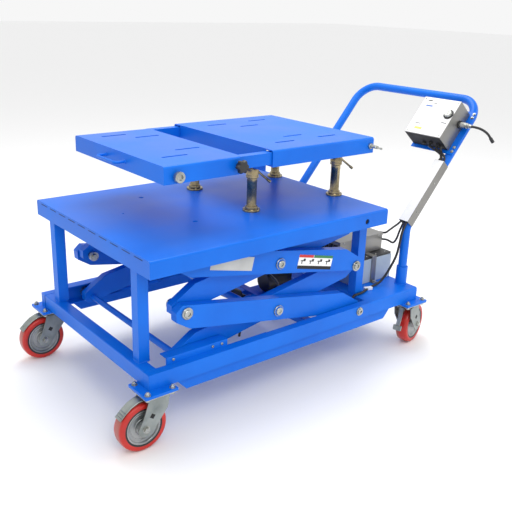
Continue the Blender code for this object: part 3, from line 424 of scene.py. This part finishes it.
# ---------------------------------------------------------------- casters
def caster_axes(x, y, heading):
    """The point under a caster's swivel, and the directions along and across its wheel."""
    turn = math.radians(heading)
    along = Vector((math.cos(turn), math.sin(turn), 0))
    over = Vector((-math.sin(turn), math.cos(turn), 0))
    return at(x, y, 0), along, over


def build_wheel(name, foot, along, over):
    axle = foot + along * TRAIL + UP * WHEEL_RADIUS
    body = f"wheel_{name}"
    edge = [(0.0600, -0.0215), (0.0650, -0.0222), (0.0705, -0.0216), (0.0738, -0.0185), (0.0755, -0.0120)]
    crown = [(WHEEL_RADIUS - 0.0002, -0.0060), (WHEEL_RADIUS - 0.0001, 0.0)]
    profile = [(0.0560, -0.0190)] + edge + crown
    profile += [(r, -h) for r, h in profile[-2::-1]]
    bm = bmesh.new()
    add_turned(bm, axle, over, profile, 72)
    tread = make(f"wheel_tread_{name}", bm, TREAD, body, origin=axle, angle=50)
    bm = bmesh.new()
    ring = [(0.0540, -0.0203), (0.0562, -0.0212), (0.0598, -0.0212)]
    add_turned(bm, axle, over, mirrored(ring), 72)
    make(f"wheel_core_{name}", bm, BLACK, body)
    bm = bmesh.new()
    rim = [(0.0068, 0.0260), (0.0120, 0.0264), (0.0150, 0.0254), (0.0170, 0.0214), (0.0185, 0.0160)]
    rim += [(0.0228, 0.0150), (0.0240, 0.0164), (0.0262, 0.0164), (0.0274, 0.0146), (0.0378, 0.0138)]
    rim += [(0.0390, 0.0154), (0.0414, 0.0154), (0.0426, 0.0138), (0.0468, 0.0146), (0.0490, 0.0185)]
    rim += [(0.0506, 0.0204), (0.0539, 0.0204)]
    add_turned(bm, axle, over, mirrored(rim), 64)
    make(f"wheel_hub_{name}", bm, ALLOY, body, bevel=0.0004)
    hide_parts(f"caster_wheel_{name}")


def build_fork_details(name, foot, along, over):
    body = f"fork_{name}"
    paint(f"caster_fork_{name}", ZINC, 0.0011, 3)
    axle = foot + along * TRAIL + UP * WHEEL_RADIUS
    bm = bmesh.new()
    for side in (-1, 1):
        add_hex_head(bm, axle + over * (side * 0.0342), over * side, 0.0092, 0.0062, 0.0115)
    make(f"axle_nuts_{name}", bm, PALE_ZINC, body, bevel=0.0004)
    centre = foot + along * 0.024 + UP * 0.1130
    bm = bmesh.new()
    lean = (along * 0.8 + UP * 0.6).normalized()
    for side in (-1, 1):
        mark = centre + over * (side * 0.0343)
        add_box(bm, mark, lean, lean.cross(over), over, (0.0066, 0.0066, 0.0004))
    make(f"fork_slots_{name}", bm, DARK, body)
    bm = bmesh.new()
    ring = [(0.0100, 0.1639), (0.0305, 0.1639), (0.0325, 0.1655), (0.0325, 0.1690)]
    ring += [(0.0345, 0.1705), (0.0345, 0.1722), (0.0100, 0.1722)]
    add_turned(bm, foot, UP, ring, 48)
    make(f"swivel_race_{name}", bm, ZINC, body)
    bm = bmesh.new()
    add_hex_head(bm, foot + UP * 0.1580, -UP, 0.0110, 0.0050, 0.0160)
    make(f"kingpin_nut_{name}", bm, ZINC, body, bevel=0.0004)


def build_caster_plates(name, x, y, foot):
    bm = bmesh.new()
    add_box(bm, foot + UP * 0.1749, LENGTHWISE, ACROSS, UP, (0.0518, 0.0478, 0.0024))
    make(f"caster_plate_{name}", bm, PALE_ZINC, "base", bevel=0.0010)
    frame_end, frame_side = 0.5745, 0.364
    bm = bmesh.new()
    for a in (-0.040, 0.040):
        for b in (-0.037, 0.037):
            spot = foot + Vector((a, b, 0))
            if abs(x + a) > frame_end or abs(y + b) > frame_side:
                add_hex_head(bm, spot + UP * 0.1852, UP, 0.0072, 0.0060, 0.0095)
                add_stack(bm, spot + UP * 0.1900, UP, [(0, 0.0040), (0.0050, 0.0040), (0.0058, 0.0034)], 16)
            add_hex_head(bm, spot + UP * 0.1725, -UP, 0.0072, 0.0052, 0.0092)
    make(f"caster_bolts_{name}", bm, PALE_ZINC, "base", bevel=0.0004)


def build_casters():
    for name, (x, y, heading) in CASTERS.items():
        foot, along, over = caster_axes(x, y, heading)
        build_wheel(name, foot, along, over)
        build_fork_details(name, foot, along, over)
        build_caster_plates(name, x, y, foot)
        if x < 0:
            build_left_pedal_ribs(name, foot, along, over)
        else:
            build_right_pedal(name, foot, along, over)


def build_left_pedal_ribs(name, foot, along, over):
    paint(f"brake_pedal_{name}", ZINC, 0.0009)
    bm = bmesh.new()
    for u, z in ((0.0985, 0.1359), (0.1050, 0.1298), (0.1115, 0.1237)):
        add_box(bm, foot + along * u + UP * z, along, over, UP, (0.0012, 0.0140, 0.0014))
    make(f"pedal_ribs_{name}", bm, ZINC, f"pedal_{name}", bevel=0.0003)


def build_right_pedal(name, foot, along, over):
    """A narrow arm down the front of the wheel, with a wider pad at its foot."""
    arm = [(-0.0355, 0.1625), (-0.0355, 0.1500), (-0.052, 0.112), (-0.0595, 0.092)]
    arm += [(-0.0655, 0.092), (-0.057, 0.115), (-0.042, 0.152), (-0.0400, 0.1625)]
    pad = [(-0.0590, 0.098), (-0.0620, 0.0805), (-0.0695, 0.0805), (-0.0665, 0.098)]
    bm = bmesh.new()
    for outline, half in ((arm, 0.0075), (pad, 0.0155)):
        add_loft(bm, [[foot + along * u + over * w + UP * z for u, z in outline] for w in (-half, half)])
    lowest, lean = 0.0840, 0.17
    for z in (lowest, 0.0880, 0.0920):
        rib = foot + along * (-0.0683 + (z - lowest) * lean) + UP * z
        add_box(bm, rib, along, over, UP, (0.0010, 0.0140, 0.0008))
    for side in (-1, 1):
        spot = foot + along * -0.0385 + UP * 0.1560 + over * (side * 0.0076)
        add_hex_head(bm, spot, over * side, 0.0036, 0.0030)
    pedal = make(f"pedal_arm_{name}", bm, ZINC, f"pedal_{name}", bevel=0.0008)
    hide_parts(f"brake_pedal_{name}")


# ---------------------------------------------------------------- welds and plates
def add_bead(bm, start, end, radius=0.0022):
    """A weld bead: ripples along a line."""
    pitch = 0.0036
    run = end - start
    n = max(2, round(run.length / pitch))
    steps = []
    for i in range(2 * n + 1):
        swell = radius * (1.0 if i % 2 else 0.82)
        steps.append((run.length * i / (2 * n), swell if 0 < i < 2 * n else radius * 0.4))
    add_stack(bm, start, run, steps, 10)


def add_weld_ring(bm, centre, radius):
    size = 0.0020
    ring = [(radius + a, b) for a, b in circle(size, 8)]
    add_turned(bm, centre, UP, ring, 36)


def build_welds():
    post_y, half, z = 0.2675, 0.0175, 0.2334
    bm = bmesh.new()
    for x in (-0.542, 0.3405):
        for side in (-1, 1):
            for y in (side * (post_y - half), side * (post_y + half)):
                add_bead(bm, at(x - half, y, z), at(x + half, y, z))
            for edge in (x - half, x + half):
                if abs(edge) < 0.53:  # the left posts have no bead along their outer edges
                    add_bead(bm, at(edge, side * post_y - half, z), at(edge, side * post_y + half, z))
    for side in (-1, 1):
        add_bead(bm, at(-0.5345, side * 0.3345, 0.2325), at(-0.5345, side * 0.3345, 0.1880), 0.0018)
    make("base_welds", bm, BLUE, "base")
    bm = bmesh.new()
    for i in range(10):
        add_box(bm, at(-0.5661, -0.307 + 0.068 * i, 0.5606), ACROSS, UP, LENGTHWISE, (0.0225, 0.0009, 0.0003))
    make("table_end_seams", bm, DARK, "table")
    for side, which in ((-1, "near"), (1, "far")):
        # Painted shadow: a thin near-black strip along the joint, where the rail overhangs the recessed
        # hanging plate
        bm = bmesh.new()
        add_box(bm, at(-0.0175, side * 0.3494, 0.1823), LENGTHWISE, ACROSS, UP, (0.4600, 0.0003, 0.0011))
        make(f"hanging_plate_painted_shadow_{which}", bm, DARK, "base")
        bm = bmesh.new()
        add_box(bm, at(-0.5750, side * 0.3500, 0.2087), LENGTHWISE, ACROSS, UP, (0.0003, 0.0138, 0.0244))
        make(f"rail_end_cap_{which}", bm, BLUE, "base", bevel=0.0001)
        bm = bmesh.new()
        hole = at(TABLE_HOLE_X, side * 0.3600, TABLE_HOLE_Z)
        add_stack(bm, hole, (0, side, 0), [(0, 0.0125), (0.0005, 0.0125)])
        make(f"table_hole_shade_{which}", bm, DARK, "table")
    bm = bmesh.new()
    for y in (-HANDLE_Y, HANDLE_Y):
        add_weld_ring(bm, at(HANDLE_X, y, SOCKET_Z), 0.0212)
    make("socket_welds", bm, BLUE, "base")


def build_plates():
    """A blank rating plate and a plain picture label on the upper outer arm."""
    along = at(PIVOT_X, 0, JOINT_Z) - at(CENTRE_PIN_X, 0, UPPER_CENTRE_Z)
    along.normalize()
    lift = along.cross(ACROSS)
    pin = at(CENTRE_PIN_X, -0.3304, UPPER_CENTRE_Z)

    def put(name, s, h, half, depth, material):
        bm = bmesh.new()
        add_box(bm, pin + along * s + lift * h - ACROSS * depth, along, lift, ACROSS, (*half, 0.0002))
        make(name, bm, material, "upper_outer", bevel=0.0001)

    put("rating_plate", -0.190, -0.003, (0.079, 0.0215), 0.0001, PLATE)
    put("picture_label", 0.153, 0.0085, (0.077, 0.0235), 0.0001, WHITE)
    put("picture_label_foot", 0.153, -0.0095, (0.077, 0.0055), 0.0005, DARK)
    put("picture_label_red", 0.108, 0.0275, (0.032, 0.0045), 0.0005, PRINT_RED)
    put("picture_label_green", 0.186, 0.0275, (0.044, 0.0045), 0.0005, PRINT_GREEN)
    strokes = ((0, 0.003, 0.010, 0.0015), (-0.004, -0.001, 0.0018, 0.006), (0.006, 0.007, 0.0045, 0.003))
    for i in range(4):
        s = 0.096 + 0.038 * i
        for k, (ds, dh, half_s, half_h) in enumerate(strokes):
            name = f"picture_label_mark_{i + 1}_{k + 1}"
            put(name, s + ds, 0.009 + dh, (half_s, half_h), 0.0005, DARK)


# ---------------------------------------------------------------- scissor and base
PIN_HEAD_RADIUS = 0.0182


def add_pin_head(bm, foot, axis, floor, radius=PIN_HEAD_RADIUS):
    """A pivot pin's end: a washer, and on it a disc with a round recess. Its floor clears the pin."""
    slimmer = 0.0 if radius == PIN_HEAD_RADIUS else 0.0018
    edge = floor * 0.7
    top = floor + 0.0036
    washer = [(0, radius), (edge, radius)]
    washer += [(edge + 0.0008, radius - 0.0008), (edge + 0.0008, 0.0130 - slimmer)]
    disc = [(floor, 0.0128), (floor + 0.0026, 0.0128), (top, 0.0118), (top, 0.0066)]
    disc = [(h, r - slimmer) for h, r in disc]
    add_stack(bm, foot, axis, washer + disc + [(floor + 0.0010, 0.0062)], 40)


def build_pin_heads():
    spots = {
        "lower_outer": [(CENTRE_PIN_X, LOWER_CENTRE_Z)],
        "upper_outer": [(CENTRE_PIN_X, UPPER_CENTRE_Z), (PIVOT_X, JOINT_Z)],
    }
    for body, places in spots.items():
        bm = bmesh.new()
        for x, z in places:
            for side in (-1, 1):
                add_pin_head(bm, at(x, side * PIN_HEAD_Y, z), (0, side, 0), 0.0062)
        make(f"{body}_pin_heads", bm, PALE_ZINC, body)
    for side, which in ((-1, "near"), (1, "far")):
        bm = bmesh.new()
        add_pin_head(bm, at(ROLLER_X, side * PIN_HEAD_Y, JOINT_Z), (0, side, 0), 0.0066)
        make(f"left_pin_head_{which}", bm, PALE_ZINC, "lower_outer")
        paint(f"left_joint_pin_{which}", PALE_ZINC, 0.0006)
    bm = bmesh.new()
    for side in (-1, 1):
        add_pin_head(bm, at(PIVOT_X, side * 0.3642, PIVOT_Z), (0, side, 0), 0.0042, 0.0150)
    make("base_pivot_heads", bm, PALE_ZINC, "lower_outer")
    bm = bmesh.new()
    for side in (-1, 1):
        for x in (-0.478, -0.340, -0.306):
            add_socket_head(bm, at(x, side * 0.3368, 0.2450), (0, side, 0), 0.0044, 0.0038)
    make("track_screws", bm, PALE_ZINC, "base")


def build_frame_finish():
    for name in ("side_rail_near", "side_rail_far", "base_cross_member", "rear_deck"):
        paint(name, BLUE, 0.0012)
    paint("base_end_frame", BLUE, 0.0028, 3)
    paint("table_tray", BLUE, 0.0009)
    for name in ("lower_outer_arms", "lower_inner_arms", "upper_inner_arms", "upper_outer_arms"):
        paint(name, BLUE, 0.0042, 3)
    for name in ("platform_main_plate", "platform_slide_plate"):
        paint(name, BLUE, 0.0008)
    for name in ("lower_roller_near", "lower_roller_far", "upper_roller_near", "upper_roller_far"):
        paint(name, ZINC, 0.0008)
    paint("cylinder_barrel", BLACK, 0.0008)
    paint("cylinder_rod", STEEL, 0.0006)
    paint("pump_motor", BLACK, 0.0015)


# ---------------------------------------------------------------- jacks and platform fittings
def build_jacks():
    """Stand, clamp with its lever, and post, between the table and the platform's plate."""
    foot, plate = 0.5688, 0.7360
    for name, (x, y) in JACKS.items():
        base = at(x, y, foot)
        profile = [(0.0125, 0.0), (0.0288, 0.0), (0.0290, 0.0060), (0.0282, 0.0074), (0.0210, 0.0080)]
        profile += [(0.0206, 0.0150), (0.0200, 0.0168), (0.0170, 0.0176), (0.0165, 0.0190), (0.0165, 0.0940)]
        profile += [(0.0170, 0.0950), (0.0170, 0.1095), (0.0160, 0.1109), (0.0125, 0.1109)]
        bm = bmesh.new()
        add_turned(bm, base, UP, profile, 48)
        stand = make(f"jack_tube_{name}", bm, YELLOW_ZINC, "table")
        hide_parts(f"jack_stand_{name}")
        bm = bmesh.new()
        low = foot + 0.1113
        collar = [(0.0125, 0.0), (0.0200, 0.0), (0.0210, 0.0012), (0.0210, 0.0060), (0.0202, 0.0068)]
        collar += [(0.0202, 0.0090), (0.0210, 0.0098), (0.0210, 0.0300), (0.0198, 0.0318), (0.0125, 0.0318)]
        add_turned(bm, at(x, y, low), UP, collar, 48)
        out = Vector((0.78, math.copysign(0.62, y), 0))
        start = at(x, y, low + 0.021) + out * 0.0165
        end = at(x, y, low - 0.014) + out * 0.0600
        run = end - start
        steps = [(0, 0.0042), (0.008, 0.0042), (0.009, 0.0036), (run.length - 0.014, 0.0036)]
        steps += [(run.length - 0.012, 0.0048), (run.length - 0.002, 0.0048), (run.length, 0.0036)]
        add_stack(bm, start, run, steps, 24)
        lever = make(f"jack_clamp_{name}", bm, YELLOW_ZINC, f"jack_lever_{name}")
        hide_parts(f"jack_lever_{name}")
        bm = bmesh.new()
        head = plate - foot
        steps = [(0.1440, 0.01235), (head - 0.0100, 0.01235)]
        steps += [(head - 0.0098, 0.0199), (head - 0.0006, 0.0199)]
        add_stack(bm, base, UP, steps, 36)
        make(f"jack_post_{name}", bm, YELLOW_ZINC, "platform", bevel=0.0005)


def build_ring_pin():
    bm = bmesh.new()
    steps = [(0, 0.0112), (0.006, 0.0112), (0.0066, 0.0155), (0.0080, 0.0165), (0.0182, 0.0165)]
    steps += [(0.0198, 0.0150), (0.0198, 0.0088), (0.0150, 0.0082)]
    add_stack(bm, at(-0.399, NEAR_SLIDE, 0.750), -ACROSS, steps, 40)
    piece = make("ring_pin_barrel", bm, PALE_ZINC, "ring_pin")
    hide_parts("ring_pin")


def build_star_knob():
    """A grip with six lobes, on a round neck."""
    spot = at(-0.184, NEAR_SLIDE, 0.756)
    points, lobes = 72, 6
    bm = bmesh.new()
    rings = []
    for depth, radius, lobe in (
        (0.0, 0.0080, 0),
        (0.0110, 0.0085, 0),
        (0.0125, 0.0150, 0.0015),
        (0.0150, 0.0188, 0.0024),
        (0.0255, 0.0190, 0.0025),
        (0.0290, 0.0165, 0.0018),
        (0.0300, 0.0090, 0),
    ):
        ring = []
        for i in range(points):
            turn = 2 * math.pi * i / points
            r = radius + lobe * math.cos(lobes * turn)
            ring.append(spot - ACROSS * depth + Vector((r * math.cos(turn), 0, r * math.sin(turn))))
        rings.append(ring)
    add_loft(bm, rings)
    piece = make("star_knob_grip", bm, BLACK, "star_knob", angle=50)
    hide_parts("star_knob")


def build_tee_screw():
    """A screw through a nut, ridged for its thread, with a bar across its end."""
    spot = at(0.381, NEAR_MAIN, 0.761)
    bm = bmesh.new()
    add_hex_head(bm, spot, -ACROSS, 0.0104, 0.0075)
    steps, pitch = [], 0.0018
    for i in range(15):
        steps += [(0.0078 + i * pitch, 0.0055), (0.0087 + i * pitch, 0.0049)]
    add_stack(bm, spot, -ACROSS, steps + [(0.0355, 0.0052)], 24)
    start, end = spot + Vector((-0.0135, -0.0320, 0.0028)), spot + Vector((0.0258, -0.0320, -0.0078))
    run = end - start
    bar = [(0, 0.0030), (0.001, 0.0038), (0.006, 0.0038), (0.007, 0.0031), (run.length - 0.007, 0.0031)]
    bar += [(run.length - 0.006, 0.0038), (run.length - 0.001, 0.0038), (run.length, 0.0030)]
    add_stack(bm, start, run, bar, 20)
    piece = make("tee_screw_body", bm, PALE_ZINC, "tee_screw")
    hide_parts("tee_screw")


def build_grab_handle():
    x, z, out = -0.4423, 0.757, 0.034
    low, high, bend = -0.026, 0.094, 0.014
    route = [at(x, low, z)]
    for middle, start in ((low + bend, 270), (high - bend, 180)):
        for k in range(13):
            turn = math.radians(start - 90 * k / 12)
            route.append(at(x - out + bend + bend * math.cos(turn), middle + bend * math.sin(turn), z))
    route.append(at(x, high, z))
    piece = tube("grab_handle_bar", route, 0.0042, BLUE, "slide", 8)
    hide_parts("grab_handle")
    bm = bmesh.new()
    for y in (low, high):
        add_stack(bm, at(x, y, z), (-1, 0, 0), [(0, 0.0066), (0.0012, 0.0058), (0.0028, 0.0044)], 28)
    make("grab_handle_welds", bm, BLUE, "slide")


# ---------------------------------------------------------------- power pack
def build_power_pack():
    floor = 0.2333
    for name, start, end in (("left", 0.3740, 0.4715), ("right", 0.4765, 0.5740)):
        paint(f"battery_{name}", BATTERY, 0.0016, 3)
        middle, half = (start + end) / 2, (end - start) / 2
        bm = bmesh.new()
        lid = at(middle, BATTERY_Y, floor + 0.0972)
        add_box(bm, lid, LENGTHWISE, ACROSS, UP, (half - 0.0025, 0.0730, 0.0040))
        for a in (-0.030, 0.0, 0.030):
            cap = at(middle + a * 0.6, BATTERY_Y + a, floor + 0.1008)
            add_stack(bm, cap, UP, [(0, 0.0090), (0.0005, 0.0085)], 24)
        make(f"battery_lid_{name}", bm, BLACK, "base", bevel=0.0008)
        bm = bmesh.new()
        for z in (floor + 0.058, floor + 0.0895):
            add_box(bm, at(middle, BATTERY_Y, z), LENGTHWISE, ACROSS, UP, (half + 0.0003, 0.0758, 0.0009))
        make(f"battery_seam_{name}", bm, BATTERY, "base", bevel=0.0004)
        bm = bmesh.new()
        for side in (-1, 1):
            terminal = at(middle + side * 0.026, -0.214, floor + 0.0985)
            add_hex_head(bm, terminal, UP, 0.0050, 0.0030, 0.0070)
        make(f"battery_terminals_{name}", bm, PALE_ZINC, "base")
    paint("battery_strap", STEEL, 0.0006)
    bm = bmesh.new()
    add_hex_head(bm, at(0.4740, -0.2400, floor + 0.0030), UP, 0.0060, 0.0046, 0.0078)
    make("strap_bolt", bm, PALE_ZINC, "base", bevel=0.0003)
    paint("power_unit_case", STEEL, 0.0009)
    bm = bmesh.new()
    for i in range(6):
        y = -0.165 + 0.022 * i
        add_box(bm, at(0.3284, y, 0.368), LENGTHWISE, ACROSS, UP, (0.0009, 0.0080, 0.0200))
    make("case_vents", bm, DARK, "base")
    bm = bmesh.new()
    steps = [(0, 0.0034), (0.0010, 0.0032), (0.0016, 0.0022)]
    for x in (0.350, 0.440, 0.535):
        add_stack(bm, at(x, -0.1894, 0.3970), -ACROSS, steps, 20)
    make("case_screws", bm, PALE_ZINC, "base")


# ---------------------------------------------------------------- push handle
def build_handle():
    """The handle's tube, its socket bolts, and the cable cover's finish on the near side."""
    side = [at(HANDLE_X, 0, SOCKET_Z)]
    bend, turn = 0.050, math.pi / 2 - HANDLE_SLOPE
    centre = at(HANDLE_X + bend, 0, HANDLE_BEND_Z - bend * math.tan(turn / 2))
    for i in range(13):
        a = math.pi - turn * i / 12
        side.append(centre + Vector((bend * math.cos(a), 0, bend * math.sin(a))))
    corner, reach = 0.085, 0.566
    top = []
    for i in range(25):
        a = math.pi / 2 * i / 24
        top.append((reach - corner + corner * math.sin(a), HANDLE_Y - corner + corner * math.cos(a)))
    near = [p - ACROSS * HANDLE_Y for p in side] + [on_handle(s, -y, 0) for s, y in top]
    far = [p + ACROSS * HANDLE_Y for p in side] + [on_handle(s, y, 0) for s, y in top]
    handle = tube("push_handle_tube", near + far[::-1], HANDLE_RADIUS, BLUE, "base", 12)
    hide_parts("push_handle")
    bm = bmesh.new()
    for y in (-HANDLE_Y, HANDLE_Y):
        add_hex_head(bm, at(HANDLE_X + 0.0206, y, 0.288), LENGTHWISE, 0.0062, 0.0058, 0.0078)
    make("socket_bolts", bm, PALE_ZINC, "base", bevel=0.0004)
    paint("cable_cover", STEEL, 0.0006)
    bm = bmesh.new()
    add_box(bm, on_handle(0.1395, -HANDLE_Y, 0.0364), SLOPE, ACROSS, FACE, (0.1325, 0.0203, 0.0003))
    make("cover_front", bm, ENAMEL, "base", bevel=0.0002)
    bm = bmesh.new()
    steps = [(0, 0.0038), (0.0012, 0.0034), (0.0020, 0.0020)]
    for s in (0.060, 0.185):
        add_stack(bm, on_handle(s, -HANDLE_Y - 0.0208, 0.018), -ACROSS, steps, 24)
    make("cover_screws", bm, PALE_ZINC, "base")


def build_control_box():
    paint("control_box", STEEL, 0.0012, 3)
    middle, far_side = -0.2175, -0.135
    bm = bmesh.new()
    add_box(bm, on_handle(0.4085, middle, 0.1002), SLOPE, ACROSS, FACE, (0.0800, 0.0810, 0.0004))
    make("control_panel", bm, ENAMEL, "base", bevel=0.0003)
    bm = bmesh.new()
    add_box(bm, on_handle(0.3266, middle, 0.060), FACE, ACROSS, SLOPE, (0.0370, 0.0790, 0.0003))
    steps = [(0, 0.0085), (0.0050, 0.0085), (0.0060, 0.0070), (0.0085, 0.0066)]
    for y, out in GLANDS:
        add_stack(bm, on_handle(0.3264, y, out), -SLOPE, steps, 24)
    make("box_underside", bm, DARK, "base")
    bm = bmesh.new()
    add_box(bm, on_handle(0.4085, -0.2275, 0.0181), SLOPE, ACROSS, FACE, (0.0950, 0.0980, 0.0016))
    make("box_bracket", bm, BLUE, "base", bevel=0.0008)
    bm = bmesh.new()
    for s in (0.326, 0.344, 0.478, 0.494):
        add_hex_head(bm, on_handle(s, -0.3165, 0.0197), FACE, 0.0046, 0.0036, 0.0062)
    make("bracket_nuts", bm, PALE_ZINC, "base", bevel=0.0003)
    foot = on_handle(0.428, -0.279, 0.1006)
    bm = bmesh.new()
    ring = [(0.0150, 0), (0.0200, 0), (0.0196, 0.0026), (0.0160, 0.0030), (0.0150, 0.0024)]
    add_turned(bm, foot, FACE, ring, 56)
    make("dial_ring", bm, BLACK, "base")
    bm = bmesh.new()
    steps = [(0.0, 0.0148), (0.0065, 0.0148), (0.0100, 0.0138), (0.0114, 0.0124)]
    steps += [(0.0116, 0.0060), (0.0104, 0.0050)]
    add_stack(bm, foot, FACE, steps, 56)
    grip = SLOPE.lerp(ACROSS, 0.25).normalized()
    add_box(bm, foot + FACE * 0.0112, grip, grip.cross(FACE), FACE, (0.0110, 0.0013, 0.0006))
    dial = make("dial_face", bm, PALE_ZINC, "dial", bevel=0.0003)
    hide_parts("dial_knob")
    spot = on_handle(0.444, far_side + HAIR, 0.060)
    bm = bmesh.new()
    steps = [(-0.0005, 0.0066), (0.0090, 0.0066), (0.0093, 0.0118), (0.0105, 0.0125)]
    steps += [(0.0155, 0.0125), (0.0170, 0.0108)]
    add_stack(bm, spot, ACROSS, steps, 40)
    button = make("stop_button_cap", bm, BLACK, "stop_button")
    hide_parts("stop_button")
    marks = [
        (0.475, -0.168, 0.0020, 0.0100, DARK),
        (0.466, -0.196, 0.0012, 0.0070, DARK),
        (0.452, -0.176, 0.0030, 0.0150, PRINT_BLUE),
        (0.372, -0.172, 0.0012, 0.0120, DARK),
        (0.352, -0.184, 0.0045, 0.0165, PRINT_YELLOW),
        (0.390, -0.279, 0.0014, 0.0110, DARK),
    ]
    for i, (s, y, half_s, half_y, material) in enumerate(marks):
        bm = bmesh.new()
        add_box(bm, on_handle(s, y, 0.1007), SLOPE, ACROSS, FACE, (half_s, half_y, 0.0001))
        make(f"panel_mark_{i + 1}", bm, material, "base")
    bm = bmesh.new()
    steps = [(0, 0.0030), (0.0010, 0.0028), (0.0015, 0.0018)]
    for s in (0.336, 0.481):
        for y in (-0.291, -0.144):
            add_stack(bm, on_handle(s, y, 0.1006), FACE, steps, 20)
    make("panel_screws", bm, PALE_ZINC, "base")
    build_connector(CONNECTOR_FOOT)


def build_connector(foot):
    bm = bmesh.new()
    ring = [(0.0100, 0), (0.0145, 0), (0.0145, 0.0045), (0.0135, 0.0058), (0.0100, 0.0058)]
    add_turned(bm, foot, -ACROSS, ring, 40)
    make("connector_gasket", bm, BLACK, "base")
    widest, pitch = 0.0108, 0.0030
    steps = [(0.0, 0.0098), (0.0090, 0.0098), (0.0092, widest)]
    for i in range(6):
        steps += [(0.0110 + i * pitch, widest), (0.0124 + i * pitch, 0.0102)]
    steps += [(0.0300, 0.0105), (0.0340, 0.0100), (0.0343, 0.0084), (0.0440, 0.0084)]
    steps += [(0.0450, 0.0072), (0.0540, 0.0062)]
    bm = bmesh.new()
    add_stack(bm, foot, -ACROSS, [(h * 0.9995, r) for h, r in steps], 40)
    body = make("connector_body", bm, PALE_ZINC, "base")
    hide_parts("cable_connector")


# ---------------------------------------------------------------- cables and hoses
COVER_CABLES = {  # offset across the cover, radius, and the route from the cover's lower end
    "case_cable": (
        0.011,
        0.0038,
        [
            (0.531, -0.278, 0.464),
            (0.546, -0.252, 0.446),
            (0.568, -0.215, 0.420),
            (0.578, -0.184, 0.397),
            (0.572, -0.160, 0.394),
            (0.5612, -0.157, 0.394),
        ],
    ),
    "deck_cable": (
        -0.011,
        0.0045,
        [
            (0.525, -0.307, 0.440),
            (0.521, -0.304, 0.400),
            (0.517, -0.299, 0.355),
            (0.507, -0.290, 0.315),
            (0.490, -0.280, 0.275),
            (0.466, -0.272, 0.246),
            (0.435, -0.270, 0.2390),
            (0.395, -0.278, 0.2385),
            (0.355, -0.2915, 0.2385),
            (0.328, -0.2935, 0.2387),
            (0.311, -0.2930, 0.2365),
            (0.3035, -0.2920, 0.2260),
            (0.3025, -0.2910, 0.2120),
        ],
    ),
    "sagging_cable": (
        0.001,
        0.0038,
        [
            (0.528, -0.293, 0.445),
            (0.529, -0.282, 0.412),
            (0.540, -0.262, 0.388),
            (0.556, -0.238, 0.377),
            (0.569, -0.214, 0.374),
            (0.571, -0.196, 0.374),
            (0.5612, -0.184, 0.374),
        ],
    ),
}


def build_cables():
    y = -HANDLE_Y
    for name, (offset, radius, points) in COVER_CABLES.items():
        route = [on_handle(0.045, y + offset, 0.0265), on_handle(0.013, y + offset, 0.0280)]
        route += [at(*p) for p in points]
        piece = tube(f"{name}_jacket", smooth_route(route), radius, RUBBER, "base")
        if name in NODES:
            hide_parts(name)
    route = [on_handle(0.3268, y + 0.018, 0.043), on_handle(0.316, y + 0.018, 0.043)]
    route += [on_handle(0.297, y + 0.008, 0.034), on_handle(0.270, y, 0.0262), on_handle(0.200, y, 0.0260)]
    piece = tube("control_cable_jacket", smooth_route(route), 0.0055, RUBBER, "base")
    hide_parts("control_cable")
    for i, (gland, offset) in enumerate(zip(GLANDS, (-0.012, 0.010))):
        route = [on_handle(0.318, *gland), on_handle(0.310, *gland)]
        route += [on_handle(0.294, y + offset * 0.6, 0.037)]
        route += [on_handle(0.270, y + offset, 0.0250), on_handle(0.200, y + offset, 0.0240)]
        tube(f"box_cable_{i + 1}", smooth_route(route), 0.0040, RUBBER, "base")
    bm = bmesh.new()
    steps = [(0, 0.0090), (0.0050, 0.0090), (0.0060, 0.0070), (0.0110, 0.0062)]
    add_stack(bm, on_handle(0.3268, y + 0.018, 0.043), -SLOPE, steps, 28)
    make("cable_gland", bm, BLACK, "base")
    bm = bmesh.new()
    add_box(bm, at(0.402, -0.2762, 0.2385), (0.96, -0.28, 0), (0.28, 0.96, 0), UP, (0.0160, 0.0068, 0.0052))
    make("cable_clip", bm, WHITE, "base", bevel=0.0012)
    route = [at(-0.165, -0.255, 0.300), at(-0.167, -0.252, 0.240), at(-0.172, -0.250, 0.196)]
    tube("rear_hose", smooth_route(route), 0.0042, RUBBER, "base")
    route = [at(0.165, 0.035, 0.262), at(0.110, -0.10, 0.272), at(0.060, -0.17, 0.262)]
    route += [at(0.030, -0.19, 0.225), at(0.040, -0.19, 0.200)]
    tube("pump_hose", smooth_route(route, 0.008), 0.0048, RUBBER, "base")


# ---------------------------------------------------------------- build
build_casters()
build_frame_finish()
build_welds()
build_plates()
build_pin_heads()
build_jacks()
build_ring_pin()
build_star_knob()
build_tee_screw()
build_grab_handle()
build_power_pack()
build_handle()
build_control_box()
build_cables()

bpy.context.view_layer.update()
